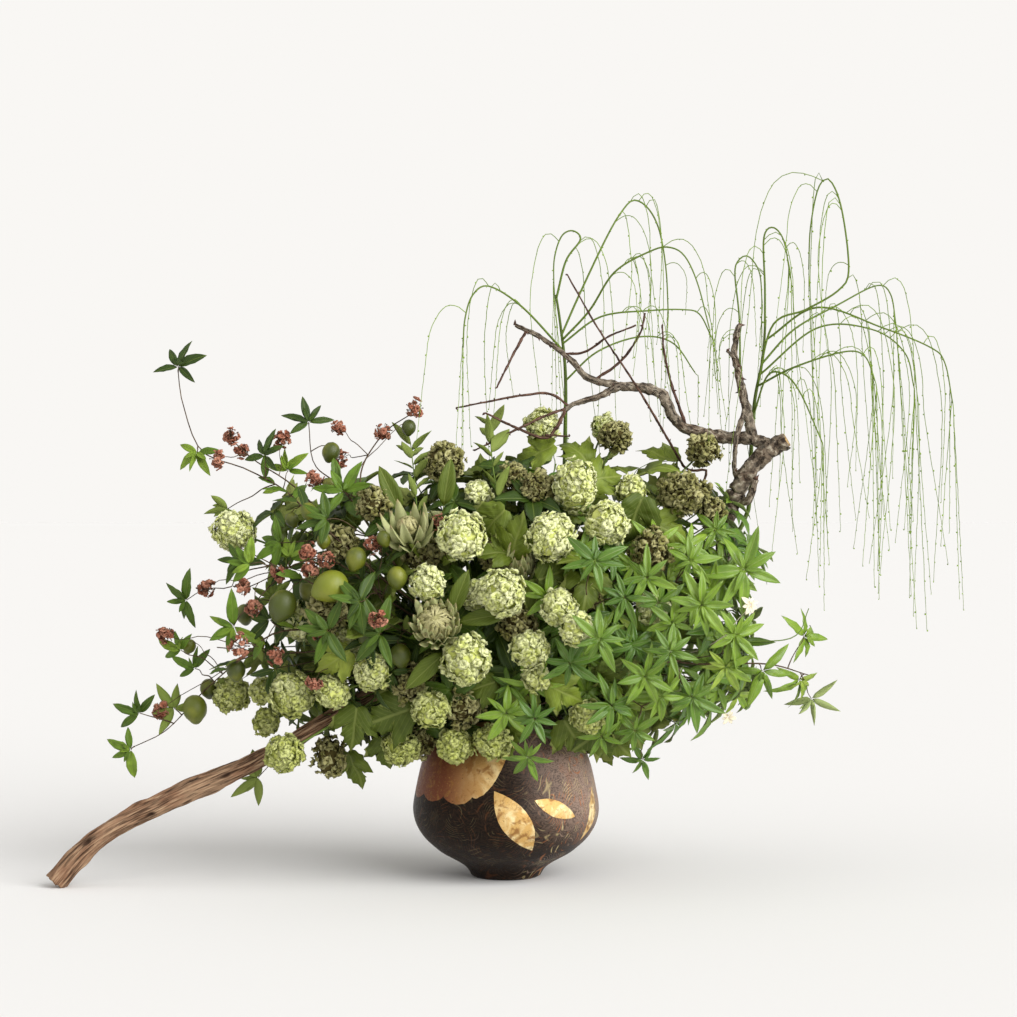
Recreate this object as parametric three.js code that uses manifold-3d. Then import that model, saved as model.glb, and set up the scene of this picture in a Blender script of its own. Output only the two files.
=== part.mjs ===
// An ikebana arrangement in a round footed vase: snowball and dried hydrangea heads, proteas, a
// fruiting citrus branch, glossy whorled foliage, an old gnarled branch, weeping green strands and a
// driftwood limb that leans from the mouth down to the table.
// Millimetres, +Z up, +X to the viewer's right, +Y away from the viewer.
// The origin is the centre of the vase's foot, on the surface that it stands on.
import * as THREE from "three";
import { mergeVertices } from "three/addons/utils/BufferGeometryUtils.js";
import Module from "manifold-3d";

const wasm = await Module();
wasm.setup();

// ---------------------------------------------------------------- driving dimensions

// Vase
const FOOT_RADIUS = 60;
const BELLY_RADIUS = 167;
const MOUTH_RADIUS = 98; // outside of the rim
const VASE_HEIGHT = 290;
const WALL = 9;
const VASE_SIDES = 20;

// Soaked foam that holds the stems
const FOAM_TOP = 258;
const FOAM_SLACK = 2.5; // between the foam and the wall
const HOLE_BOTTOM = 215;
const HOLE_ROOM = 1.3; // what a stem is swollen by to make its hole
const HOLE_SPREAD = 80; // radius of the ring of the outermost stems
const HOLE_COUNT = 58;

// The bunch is an egg shape that the blooms lie on
const BUNCH_CENTRE = new THREE.Vector3(-10, 0, 480);
const BUNCH_HALF = new THREE.Vector3(560, 270, 300);
const REAR_DEPTH = 0.65; // depth of the bunch's back as a share of its front's

// Placement tables give x and z as seen from the front, from this far and this high
const VIEW_DISTANCE = 4000;
const VIEW_HEIGHT = 660;

const GAP = 0.3; // what each piece is swollen by when it is tested against another plant's
const STEM = 3.2; // radius of a cut stem
const TWIG = 1.4; // radius of a side twig
const BLADE = 2.6; // thickness of a whorl at its hub; its leaflets thin towards their edges
const PLAIN_HEAD = 33; // a bloom from this radius up has 12 florets, and a smaller one has 6
const BIG_LIME = 22; // a lime from this radius up is rounder
const FRONT = new THREE.Vector3(0, -1, 0);

// ---------------------------------------------------------------- small helpers

let seed = 20;
function random() {
  seed = (seed * 1664525 + 1013904223) % 4294967296;
  return seed / 4294967296;
}
const between = (low, high) => low + (high - low) * random();
const point = (x, y, z) => new THREE.Vector3(x, y, z);
const degrees = THREE.MathUtils.degToRad;

// A point given by its place in the front view and its depth, moved along the line of sight.
function seen(x, z, y) {
  const far = 1 + y / VIEW_DISTANCE;
  return point(x * far, y, VIEW_HEIGHT + (z - VIEW_HEIGHT) * far);
}

// Depth of the bunch's near surface at a place in the front view; nought outside its outline.
function nearSurface(x, z) {
  const across = (x - BUNCH_CENTRE.x) / BUNCH_HALF.x;
  const up = (z - BUNCH_CENTRE.z) / BUNCH_HALF.z;
  return -BUNCH_HALF.y * Math.sqrt(Math.max(0, 1 - across * across - up * up));
}
const onBunch = ([x, z, behind]) => seen(x, z, nearSurface(x, z) + behind);
const behindBunch = ([x, z, inside]) => seen(x, z, -REAR_DEPTH * nearSurface(x, z) - inside);

// ---------------------------------------------------------------- solids

function solid(geometry) {
  const bare = geometry.index ? geometry.toNonIndexed() : geometry.clone();
  bare.deleteAttribute("normal");
  bare.deleteAttribute("uv");
  const merged = mergeVertices(bare, 1e-4);
  return new wasm.Manifold(
    new wasm.Mesh({
      numProp: 3,
      vertProperties: new Float32Array(merged.attributes.position.array),
      triVerts: new Uint32Array(merged.index.array),
    }),
  );
}

// The largest body of a solid, so a loose scrap or a sealed hollow is left out.
function largestBody(made) {
  return made.decompose().reduce((a, b) => (b.volume() > a.volume() ? b : a));
}

function meshOf(name, made, material) {
  const { vertProperties, triVerts, numProp } = made.getMesh();
  const count = vertProperties.length / numProp;
  const position = new Float32Array(count * 3);
  for (let i = 0; i < count; i++) {
    position.set(vertProperties.subarray(i * numProp, i * numProp + 3), i * 3);
  }
  const geometry = new THREE.BufferGeometry()
    .setAttribute("position", new THREE.BufferAttribute(position, 3))
    .setIndex(new THREE.BufferAttribute(triVerts, 1));
  geometry.computeVertexNormals();
  const mesh = new THREE.Mesh(geometry, material);
  mesh.name = name;
  return mesh;
}

// Moves every vertex of a geometry by a function of its place.
function reshape(geometry, move) {
  const position = geometry.attributes.position;
  const v = new THREE.Vector3();
  for (let i = 0; i < position.count; i++) {
    v.fromBufferAttribute(position, i);
    const to = move(v);
    position.setXYZ(i, to.x, to.y, to.z);
  }
  return geometry;
}

// The middles of a limb's rings, which are its only points that lie surely inside it.
function ringCentres(points, steps) {
  const curve = new THREE.CatmullRomCurve3(points);
  return Array.from({ length: steps + 1 }, (_, i) => curve.getPointAt(i / steps));
}

// Where side twigs can leave a stem: on the straight stretches between its rings, above the vase.
function forksAlong(rings, first = 1) {
  const forks = [];
  for (let i = first; i < rings.length - 1; i++) {
    for (const share of [0.2, 0.5, 0.8]) forks.push(rings[i].clone().lerp(rings[i + 1], share));
  }
  return forks.filter((at) => at.z > VASE_HEIGHT + 20);
}

// A tapered round limb: a cylinder bent along a smooth curve through the points.
function limb(points, thick, thin, sides, steps, swell = 0, rough = null) {
  const frames = new THREE.CatmullRomCurve3(points).computeFrenetFrames(steps);
  const places = ringCentres(points, steps);
  places[0].addScaledVector(frames.tangents[0], -swell);
  places[steps].addScaledVector(frames.tangents[steps], swell);
  const tipRadius = thin > 0 ? thin + swell : 0;
  const cylinder = new THREE.CylinderGeometry(tipRadius, thick + swell, 1, sides, steps);
  return reshape(cylinder, (v) => {
    const i = Math.round((v.y + 0.5) * steps);
    const puff = rough ? rough(i / steps, Math.atan2(v.z, v.x)) : 1;
    return places[i]
      .clone()
      .addScaledVector(frames.normals[i], v.x * puff)
      .addScaledVector(frames.binormals[i], -v.z * puff);
  });
}

// A thin three-sided twig or thread, pointed at both ends so that it sinks into what it joins.
function spindle(points, radius, steps, swell = 0) {
  const route = new THREE.CatmullRomCurve3(points);
  const frames = route.computeFrenetFrames(steps);
  const places = ringCentres(points, steps);
  const ball = new THREE.SphereGeometry(1, 3, steps);
  return reshape(ball, (v) => {
    const i = Math.round((Math.acos(THREE.MathUtils.clamp(-v.y, -1, 1)) / Math.PI) * steps);
    const turn = Math.atan2(v.z, v.x);
    const out = i === 0 || i === steps ? 0 : radius + swell;
    return places[i]
      .clone()
      .addScaledVector(frames.normals[i], out * Math.cos(turn))
      .addScaledVector(frames.binormals[i], -out * Math.sin(turn));
  });
}

// A frame of three directions with its z axis along a normal, turned about it by a roll.
function facing(normal, roll) {
  const z = normal.clone().normalize();
  const x = new THREE.Vector3(1, 0, 0).addScaledVector(z, -z.x);
  if (x.lengthSq() < 0.01) x.set(0, 1, 0).addScaledVector(z, -z.y);
  x.normalize().applyAxisAngle(z, roll);
  return new THREE.Matrix4().makeBasis(x, z.clone().cross(x), z);
}

// One thin arched blade over an outline of [x, y] points that goes anticlockwise round the middle.
function plate(outline, thick, arch, at, normal, roll, swell = 0) {
  const ball = new THREE.SphereGeometry(1, outline.length, 2);
  const place = facing(normal, roll).setPosition(at);
  return reshape(ball, (v) => {
    if (Math.abs(v.y) > 0.5) {
      return point(0, 0, Math.sign(v.y) * (thick / 2 + swell)).applyMatrix4(place);
    }
    const turn = Math.atan2(v.z, -v.x) / (2 * Math.PI);
    const [x, y] = outline[(Math.round(turn * outline.length) + outline.length) % outline.length];
    const reach = Math.hypot(x, y);
    const out = 1 + swell / reach;
    return point(x * out, y * out, -arch * reach * reach).applyMatrix4(place);
  });
}

// Outline of a whorl of leaflets cut to the hub, each a kite from a notch between its neighbours.
function whorlOutline(count, length, width) {
  const outline = [];
  for (let i = 0; i < count; i++) {
    const turn = (i / count) * 2 * Math.PI;
    const long = i ? length * between(0.84, 1.12) : length;
    const put = (along, side) => {
      outline.push([
        along * Math.cos(turn) - side * Math.sin(turn),
        along * Math.sin(turn) + side * Math.cos(turn),
      ]);
    };
    const half = Math.PI / count;
    put(0.17 * length * Math.cos(half), -0.17 * length * Math.sin(half));
    put(0.52 * long, -0.62 * width);
    put(long, 0);
  }
  return outline;
}

// Outline of a lobed leaf that hangs from its stalk at the left and points to +x.
function lobedOutline(size) {
  const lobes = [
    [-0.42, 0], [-0.34, -0.3], [-0.1, -0.52], [0.06, -0.3], [0.3, -0.42], [0.34, -0.2],
    [0.62, 0], [0.34, 0.2], [0.3, 0.42], [0.06, 0.3], [-0.1, 0.52], [-0.34, 0.3],
  ];
  return lobes.map(([x, y]) => [x * size, y * size]);
}

// A single leaf blade from its root to its tip, with a ridge along its midrib.
function blade(root, along, normal, length, width, arch, swell = 0) {
  const ball = new THREE.SphereGeometry(1, 4, 3);
  const y = along.clone().normalize();
  const x = y.clone().cross(normal).normalize();
  const place = new THREE.Matrix4().makeBasis(x, y, x.clone().cross(y)).setPosition(root);
  return reshape(ball, (v) => {
    const t = Math.acos(THREE.MathUtils.clamp(-v.y, -1, 1)) / Math.PI;
    const wide = Math.sin(Math.PI * Math.pow(t, 0.8)) * (width / 2) + swell;
    const deep = t > 0.01 && t < 0.99 ? BLADE / 4 + swell : 0;
    const side = Math.abs(v.x) > 0.01 ? Math.sign(v.x) * wide : 0;
    const rise = Math.abs(v.z) > 0.01 ? Math.sign(v.z) * deep : 0;
    return point(side, t * (length + swell), rise - arch * t * t).applyMatrix4(place);
  });
}

// A round head whose florets are raised from its surface, over the corners of the solid that it is
// divided from.
const HEAD_SOLIDS = {
  small: { ball: new THREE.OctahedronGeometry(1, 1), corners: new THREE.OctahedronGeometry(1, 0) },
  plain: { ball: new THREE.IcosahedronGeometry(1, 1), corners: new THREE.IcosahedronGeometry(1, 0) },
};
for (const made of Object.values(HEAD_SOLIDS)) {
  const place = made.corners.attributes.position;
  made.axes = [];
  for (let i = 0; i < place.count; i += 3) {
    const [a, b, c] = [0, 1, 2].map((k) => new THREE.Vector3().fromBufferAttribute(place, i + k));
    made.axes.push(a, b, c);
  }
}

function head(at, radius, tall, turn, swell, relief) {
  const { ball, axes } = HEAD_SOLIDS[radius < PLAIN_HEAD ? "small" : "plain"];
  const spin = new THREE.Euler(turn, turn * 1.7, turn * 0.6);
  return reshape(ball.clone(), (v) => {
    const way = v.clone().normalize();
    const centre = axes.some((axis) => axis.dot(way) > 0.999);
    const wave = 0.05 * Math.sin(5 * way.x + turn * 9) * Math.sin(4 * way.y + turn * 5);
    const size = radius * (1 - relief / 2 + (centre ? relief : 0) + wave) + swell;
    const to = way.multiplyScalar(size).applyEuler(spin);
    return to.set(to.x, to.y, to.z * tall).add(at);
  });
}

// A lime: a ball drawn out to a small nipple at its lower end, tilted on its stalk.
function lime(at, radius, tilt, swell = 0) {
  const ball = new THREE.SphereGeometry(radius + swell, 6, radius < BIG_LIME ? 3 : 4);
  const spin = new THREE.Euler(Math.PI / 2 + tilt, 0, tilt * 2);
  return reshape(ball, (v) => {
    const end = v.y > 0.9 * radius ? 1.25 : 1.08;
    return point(v.x, v.y * end, v.z).applyEuler(spin).add(at);
  });
}

// One crown of pointed bracts: a closed cup whose rim runs up and down in points.
function crown(at, normal, roll, radius, height, bracts, swell = 0) {
  const rim = 0.78;
  const outer = [[0, -0.5], [0.62, -0.4], [1.0, rim]];
  const inner = [[0.52, -0.12], [0, -0.2]];
  const profile = [
    ...outer.map(([r, h]) => new THREE.Vector2(r ? r * radius + swell : 0, h * height - swell)),
    ...inner.map(([r, h]) => new THREE.Vector2(r ? r * radius - swell : 0, h * height + swell)),
  ];
  const cup = new THREE.LatheGeometry(profile, bracts * 2);
  const place = facing(normal, roll).setPosition(at);
  const pitch = Math.PI / bracts;
  return reshape(cup, (v) => {
    const turn = Math.round(Math.atan2(v.x, v.z) / pitch);
    const notch = Math.abs(turn) % 2 === 1;
    const top = v.y > rim * height * 0.8;
    const [out, lift] = top ? (notch ? [0.9, 0.42] : [1.12, 1.12]) : [1, 1];
    return point(v.x * out, -v.z * out, v.y * lift).applyMatrix4(place);
  });
}

// ---------------------------------------------------------------- plants that keep clear of each other

const claimed = []; // every placed piece, swollen, with the plant that owns it

function boxesMeet(a, b) {
  for (let i = 0; i < 3; i++) {
    if (a.min[i] > b.max[i] || b.min[i] > a.max[i]) return false;
  }
  return true;
}

// Says if a swollen piece is clear of all other plants, and crosses only so many of its own's pieces.
function isClear(swollen, owner, ownCrossings) {
  const box = swollen.boundingBox();
  let own = 0;
  for (const other of claimed) {
    if (!boxesMeet(box, other.box)) continue;
    if (other.owner === owner && ownCrossings === Infinity) continue;
    if (swollen.intersect(other.swollen).volume() < 1e-6) continue;
    if (other.owner !== owner) return false;
    own += 1;
    if (own > ownCrossings) return false;
  }
  return true;
}

const plants = [];
const missed = []; // what found no room, in words
const moved = []; // what found room only in front of or behind its place in a table
const stemHoles = []; // each stem swollen, to be cut out of the foam
const freeHoles = Array.from({ length: HOLE_COUNT }, (_, i) => {
  const away = HOLE_SPREAD * Math.sqrt((i + 0.5) / HOLE_COUNT);
  const turn = i * Math.PI * (3 - Math.sqrt(5));
  return new THREE.Vector2(away * Math.cos(turn), away * Math.sin(turn));
});

class Plant {
  constructor(name, material) {
    this.name = name;
    this.material = material;
    this.pieces = [];
    plants.push(this);
  }

  // Adds the piece that make(swell) builds, if it is clear of every other plant.
  add(make, ownCrossings = Infinity) {
    const swollen = solid(make(GAP));
    if (!isClear(swollen, this, ownCrossings)) return false;
    this.pieces.push(solid(make(0)));
    claimed.push({ owner: this, swollen, box: swollen.boundingBox() });
    return true;
  }

  // Adds a piece at its place in a table, or at the nearest clear depth, and gives where it went.
  // With a twig, it counts as clear only if a twig from the stem can reach it too.
  addNear(entry, place, what, make, onTwig = false, socket = null) {
    for (const shift of DEPTH_SHIFTS) {
      const at = place(entry);
      at.y += shift;
      const before = this.pieces.length;
      if (!this.add((swell) => make(at, swell), 0)) continue;
      if (!onTwig || this.twig(socket ? socket(at) : at)) {
        if (shift) moved.push(`${this.name}: ${what} ${entry.slice(0, 3)} moved ${shift}`);
        return at;
      }
      this.pieces.length = before;
      claimed.pop();
    }
    miss(this, what, entry);
    return null;
  }

  // A stem out of the free hole in the foam that suits its aim, bent clear on its way to the points.
  grow(points, thick = STEM, sides = 3, tip = TWIG) {
    const aim = points[0];
    const lean = Math.min(1, Math.hypot(aim.x, aim.y) / 260);
    const want = new THREE.Vector2(aim.x, aim.y).setLength(HOLE_SPREAD * lean);
    const holes = [...freeHoles].sort((a, b) => a.distanceTo(want) - b.distanceTo(want));
    for (const hole of holes.slice(0, 6)) {
      for (const sway of SWAYS) {
        const foot = point(hole.x, hole.y, HOLE_BOTTOM);
        const lip = point(hole.x * 1.02, hole.y * 1.02, FOAM_TOP + 6);
        const over = point(hole.x * 1.12, hole.y * 1.12, VASE_HEIGHT + 42 + 0.1 * sway.z);
        const middle = over.clone().lerp(points[0], 0.5);
        middle.z += 0.12 * middle.distanceTo(points[0]);
        middle.add(sway);
        const route = [foot, lip, over, middle, ...points];
        const length = new THREE.CatmullRomCurve3(route).getLength();
        const steps = THREE.MathUtils.clamp(Math.round(length / 120), 4, 6);
        const make = (swell) => limb(route, thick, tip, sides, steps, swell);
        if (this.add(make)) {
          freeHoles.splice(freeHoles.indexOf(hole), 1);
          stemHoles.push(solid(make(HOLE_ROOM)));
          this.forks = forksAlong(ringCentres(route, steps));
          this.tip = route[route.length - 1];
          return true;
        }
      }
    }
    return false;
  }

  // A twig from the stem to a point, bent clear of what is in its way. It leaves from the nearest
  // free places on the stem, and crosses nothing of its own plant but the stem and what it bears.
  twig(target, radius = TWIG) {
    const forks = this.forks.sort((a, b) => a.distanceTo(target) - b.distanceTo(target));
    for (const from of forks.slice(0, 5)) {
      const far = from.distanceTo(target);
      const made = TWIG_SWAYS.some((sway) => {
        const middle = from.clone().lerp(target, 0.55).addScaledVector(sway, far / 100);
        return this.add((swell) => spindle([from, middle, target], radius, 2, swell), 2);
      });
      if (made) {
        this.forks = forks.filter((other) => other !== from);
        return true;
      }
    }
    return false;
  }
}

// Sideways shifts to try, from none outwards in turning rings.
function rings(sizes, turns) {
  const out = [point(0, 0, 0)];
  for (const size of sizes) {
    for (let i = 0; i < turns; i++) {
      const a = (i / turns) * 2 * Math.PI + size;
      out.push(point(0.6 * size * Math.cos(a + 1), size * Math.cos(a), size * Math.sin(a)));
    }
  }
  return out;
}
const SWAYS = rings([15, 32, 50, 75, 100], 9);
const TWIG_SWAYS = rings([8, 18, 30, 45], 7);
const DEPTH_SHIFTS = [0, -14, 14, -28, 28, -42, 42, -58, 58, -76, 76];

function miss(plant, what, at) {
  missed.push(`${plant.name}: ${what} at ${at.map((v) => Math.round(v))}`);
}

// ---------------------------------------------------------------- materials

const finish = (color, roughness) => new THREE.MeshStandardMaterial({ color, roughness, metalness: 0 });
const LACQUER = finish(0x33261d, 0.35);
const FOAM = finish(0x3f5a35, 0.95);
const DRIFTWOOD = finish(0x80563a, 0.8);
const BARK = finish(0x6d5f52, 0.9);
const TWIG_BARK = finish(0x5a4034, 0.8);
const STRAND = finish(0x5f7d3a, 0.6);
const SNOWBALL = finish(0xb5c076, 0.8);
const DRIED = finish(0x6b5f36, 0.9);
const BRACT = finish(0x98a374, 0.7);
const CITRUS = finish(0x3d661f, 0.4);
const WHORL = finish(0x4b8a35, 0.35);
const LOBED = finish(0x55702a, 0.5);
const RUSSET = finish(0x8a4a34, 0.85);
const PALE = finish(0xe6e2c8, 0.7);

// ---------------------------------------------------------------- vase and foam

// Outside of the vase from its foot up, as [radius, height].
const OUTSIDE = [
  [FOOT_RADIUS, 0], [FOOT_RADIUS + 6, 9], [72, 18], [100, 35], [147, 71], [161, 94], [BELLY_RADIUS, 122],
  [163, 152], [150, 203], [118, 264], [104, 279], [MOUTH_RADIUS, VASE_HEIGHT],
];
const INSIDE = [
  [MOUTH_RADIUS - WALL, VASE_HEIGHT], [95, 276], [109, FOAM_TOP], [144, 190], [157, 122], [136, 73],
  [70, 34], [0, 30],
];

function lathe(profile) {
  const points = profile.map(([r, z]) => new THREE.Vector2(r, z));
  const turned = new THREE.LatheGeometry(points, VASE_SIDES);
  return reshape(turned, (v) => point(v.x, -v.z, v.y));
}

const vase = solid(lathe([[0, 0], ...OUTSIDE, ...INSIDE]));
claimed.push({ owner: "vase", swollen: vase, box: vase.boundingBox() });

// The foam fills the pot to just under its neck, a hair inside the wall.
function foam() {
  const side = INSIDE.filter(([r, z]) => r > 0 && z <= FOAM_TOP).map(([r, z]) => [r - FOAM_SLACK, z]);
  let block = solid(lathe([[0, 32], ...side.reverse(), [0, FOAM_TOP]]));
  for (const hole of stemHoles) block = block.subtract(hole);
  return largestBody(block);
}

// ---------------------------------------------------------------- driftwood, old branch and twigs

// Seen from the front: [x, z, y] along the middle of the limb.
const DRIFT_LINE = [
  [-813, -10, -125], [-776, 31, -122], [-740, 60, -120], [-689, 102, -114], [-639, 127, -110],
  [-563, 158, -103], [-506, 182, -98], [-436, 218, -90], [-310, 288, -74], [-215, 340, -58],
  [-125, 384, -40],
];
const DRIFT_PEG = [[-62, HOLE_BOTTOM, -16], [-70, 300, -18], [-108, 366, -32], [-150, 374, -42]];
const DRIFT_RADIUS = 24; // at its low end
const DRIFT_TOP_RADIUS = 14;
const PEG_RADIUS = 5; // in the foam
const PEG_TOP_RADIUS = 10; // where it joins the limb

function makeDriftwood() {
  const wood = new Plant("driftwood", DRIFTWOOD);
  const line = DRIFT_LINE.map(([x, z, y]) => seen(x, z, y));
  const grooved = (t, turn) => 1 + 0.09 * Math.sin(3 * turn + 9 * t) + 0.07 * Math.sin(5 * turn - 14 * t);
  wood.add((swell) => limb(line, DRIFT_RADIUS, DRIFT_TOP_RADIUS, 8, 12, swell, grooved));
  const pegLine = DRIFT_PEG.map(([x, z, y]) => point(x, y, z));
  const peg = (swell) => limb(pegLine, PEG_RADIUS, PEG_TOP_RADIUS, 5, 3, swell);
  wood.add(peg);
  stemHoles.push(solid(peg(HOLE_ROOM)));
  // The low end is worn flat where it stands on the table.
  const floor = solid(new THREE.BoxGeometry(400, 400, 100).translate(-800, -125, -50));
  wood.pieces = wood.pieces.map((piece) => piece.subtract(floor));
}

// The old branch: a thick bole with a sawn end and the limbs that leave it. Each has its radius at
// its root and its tip, its sides and steps, and the points [x, z, y] that it runs through.
const OLD_BRANCH = [
  [15, 17, 6, 4, [[504, 783, 0], [478, 768, 5], [440, 732, 10], [414, 690, 15]]],
  [15, 8, 5, 9, [[480, 772, 5], [440, 786, 20], [400, 788, 30], [349, 798, 20], [313, 810, 5],
    [290, 848, -5], [270, 872, -10], [205, 880, -15]]],
  [8, 4, 4, 5, [[215, 880, -15], [150, 894, -12], [120, 925, -5], [60, 970, 5], [16, 990, 10]]],
  [11, 5, 5, 6, [[446, 778, 15], [436, 827, 22], [425, 872, 25], [418, 908, 22], [411, 945, 20],
    [419, 990, 24]]],
  [4.5, 3, 4, 1, [[414, 930, 20], [398, 944, 10]]],
  [5.5, 3.5, 4, 3, [[430, 838, 22], [414, 784, 2], [411, 735, 8], [416, 704, 14]]],
  [8, 6, 4, 3, [[410, 668, 12], [436, 676, -6], [449, 712, -14]]],
  [6.5, 4, 4, 3, [[205, 880, -15], [164, 861, -22], [120, 848, -26], [106, 836, -26]]],
  [2.6, 1.6, 3, 3, [[112, 845, -26], [80, 866, -34], [25, 863, -46], [-90, 841, -66]]],
  [2.8, 1.6, 3, 3, [[108, 840, -26], [60, 822, -40], [-55, 765, -72]]],
  [3.4, 1.8, 3, 4, [[106, 836, -26], [90, 805, -40], [62, 788, -52], [-38, 832, -86]]],
  [2.2, 1.4, 3, 2, [[70, 792, -50], [115, 790, -60]]],
  [2.8, 1.5, 3, 3, [[36, 979, 8], [10, 932, -14], [-16, 878, -34]]],
  [2.6, 1.4, 3, 3, [[100, 938, 0], [142, 942, -24], [182, 968, -44], [234, 990, -60]]],
  [2.8, 1.6, 3, 3, [[160, 892, -12], [205, 924, -34], [240, 972, -46], [250, 1012, -50]]],
  [3, 1.6, 3, 3, [[325, 806, 8], [296, 890, 34], [284, 948, 42], [281, 990, 44]]],
];

function makeOldBranch() {
  const branch = new Plant("old_branch", BARK);
  const knobs = (t, turn) => 1 + 0.12 * Math.sin(2 * turn + 11 * t) + 0.1 * Math.sin(23 * t);
  for (const [thick, thin, sides, steps, line] of OLD_BRANCH) {
    const route = line.map(([x, z, y]) => seen(x, z, y));
    branch.add((swell) => limb(route, thick, thin, sides, steps, swell, sides > 4 ? knobs : null));
  }
  branch.grow([seen(380, 560, 40), seen(414, 690, 15)], 12, 6, 16);
}

function makeLongTwig() {
  const twig = new Plant("long_twig", TWIG_BARK);
  const line = [[345, 690, 60], [318, 738, 40], [240, 872, -45], [165, 985, -60], [110, 1082, -66]];
  twig.grow(line.map(([x, z, y]) => seen(x, z, y)), 3, 4, 1.6);
}

// ---------------------------------------------------------------- blooms

// Each plant is one branching stem; a head is [x, z, behind the near surface, radius, height ratio].
const SNOWBALLS = [
  [[-490, 620, 0, 36, 0.95], [-368, 458, 78, 34, 1]],
  [[-495, 325, -10, 32, 0.95], [-440, 332, 48, 22, 1], [-385, 325, 0, 38, 1], [-312, 330, 4, 28, 1]],
  [[-430, 276, -20, 22, 1.1], [-400, 220, -150, 32, 0.95]],
  [[-285, 425, 70, 29, 1], [-242, 368, 26, 30, 1.05]],
  [[-80, 610, 0, 40, 1], [-142, 525, 6, 28, 1.05], [-50, 688, 60, 22, 1]],
  [[82, 610, 0, 41, 1], [125, 702, 0, 36, 1.25], [66, 810, -10, 28, 1]],
  [[182, 635, 6, 36, 1.05], [226, 692, 40, 25, 1.1], [176, 806, 46, 21, 1], [264, 480, 50, 25, 1]],
  [[-8, 510, 4, 38, 1], [-54, 506, 52, 25, 1], [95, 482, 6, 28, 1.1], [126, 442, -36, 27, 1.1]],
  [[-72, 388, 0, 42, 1], [-135, 300, 4, 32, 1], [44, 406, 4, 31, 1], [56, 356, 16, 23, 1]],
  [[-190, 230, -6, 30, 1], [-92, 234, -6, 31, 0.9], [-24, 240, -10, 31, 0.9], [146, 285, 4, 27, 1]],
];
const SNOWBALLS_BEHIND = [
  [[-330, 520, 10, 36, 1], [-210, 360, 10, 34, 1], [-120, 620, 10, 38, 1]],
  [[90, 560, 0, 40, 1], [250, 620, 10, 34, 1], [200, 380, 10, 36, 1]],
];
const DRIED_HEADS = [
  [[-110, 745, 0, 34, 0.85], [-240, 670, 4, 25, 1]],
  [[56, 694, 46, 33, 0.9], [14, 716, 54, 23, 1], [-20, 578, 74, 25, 1]],
  [[200, 790, -14, 28, 0.85], [355, 765, -10, 27, 0.95]],
  [[320, 685, 0, 43, 0.8], [371, 658, 24, 22, 1], [262, 585, 30, 31, 1.05]],
  [[-150, 583, 90, 34, 1], [-296, 598, 48, 26, 1], [-322, 478, 24, 31, 1]],
  [[142, 506, 66, 29, 1], [22, 452, 60, 30, 1], [142, 590, 84, 18, 1]],
  [[-168, 348, 68, 35, 0.95], [-76, 308, 54, 34, 1], [-152, 240, 50, 24, 1], [-318, 212, -66, 25, 1.5]],
];
const DRIED_BEHIND = [[[-240, 470, 20, 30, 1], [-30, 500, 0, 34, 1], [180, 500, 20, 30, 1]]];

function makeBlooms(prefix, groups, material, place, relief) {
  return groups.map((heads, i) => {
    const plant = new Plant(`${prefix}_${i + 1}`, material);
    plant.tips = [];
    heads.forEach((entry, k) => {
      const [, , , radius, tall] = entry;
      const turn = i * 1.3 + k * 0.7 + radius;
      const at = plant.addNear(entry, place, "head", (middle, swell) =>
        head(middle, radius, tall, turn, swell, relief));
      if (at) plant.tips.push(at);
    });
    return plant;
  });
}

// Gives each bloom plant its stem, aimed at the head that is furthest out, with twigs to the others.
function makeStems(group) {
  for (const plant of group) {
    const inside = point(-10, 0, 400);
    const tips = plant.tips.sort((a, b) => b.distanceTo(inside) - a.distanceTo(inside));
    const grown = DEPTH_SHIFTS.some((shift) => {
      const under = tips[0].clone().lerp(inside, 0.3);
      under.y += shift;
      return plant.grow([under, tips[0]], STEM, 3, 2.4);
    });
    if (!grown) {
      miss(plant, "stem", tips[0].toArray());
      continue;
    }
    for (const tip of tips.slice(1)) {
      if (!plant.twig(tip, 1.6)) miss(plant, "twig", tip.toArray());
    }
  }
}

// ---------------------------------------------------------------- proteas

// [x, z, behind, cup radius, normal, number of bracts]
const PROTEAS = [
  { at: [-172, 628, 10], radius: 34, tall: 62, normal: point(-0.35, -0.35, 0.85), bracts: 7, open: 0.2 },
  { at: [-126, 452, 0], radius: 33, tall: 42, normal: point(-0.1, -0.95, 0.25), bracts: 9, open: 1 },
  { at: [24, 556, 62], radius: 25, tall: 44, normal: point(-0.1, -0.7, 0.6), bracts: 7, open: 0.5 },
];

function makeProteas() {
  return PROTEAS.map(({ at, radius, tall, normal, bracts, open }, i) => {
    const plant = new Plant(`protea_${i + 1}`, BRACT);
    const centre = onBunch(at);
    const n = normal.clone().normalize();
    const cups = [[1, 0, 0], [0.8, 0.1 * tall, Math.PI / bracts]];
    for (const [size, lift, roll] of cups) {
      const low = centre.clone().addScaledVector(n, lift);
      const made = plant.add((swell) => crown(low, n, roll, radius * size, tall, bracts, swell));
      if (!made) miss(plant, "crown", at);
    }
    const dome = centre.clone().addScaledVector(n, 0.02 * tall + 4 * open);
    plant.add((swell) => head(dome, radius * 0.5, 1.1, i, swell, 0.1));
    plant.tips = [centre.clone().addScaledVector(n, -0.4 * tall)];
    return plant;
  });
}

// Big smooth leaves on the protea stems: [plant, x, z, behind, length, direction as x, z].
const PROTEA_LEAVES = [
  [0, -190, 655, 46, 88, -0.4, 0.9], [0, -112, 665, 30, 84, 0.15, 1],
  [1, -110, 400, 24, 92, -0.75, -0.65], [1, -98, 470, 30, 82, 0.35, 0.95],
  [2, 0, 470, 34, 84, -1, -0.12], [2, -10, 600, 84, 78, -0.5, 0.8],
];

const LEAF_ARCH = 10;

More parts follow.
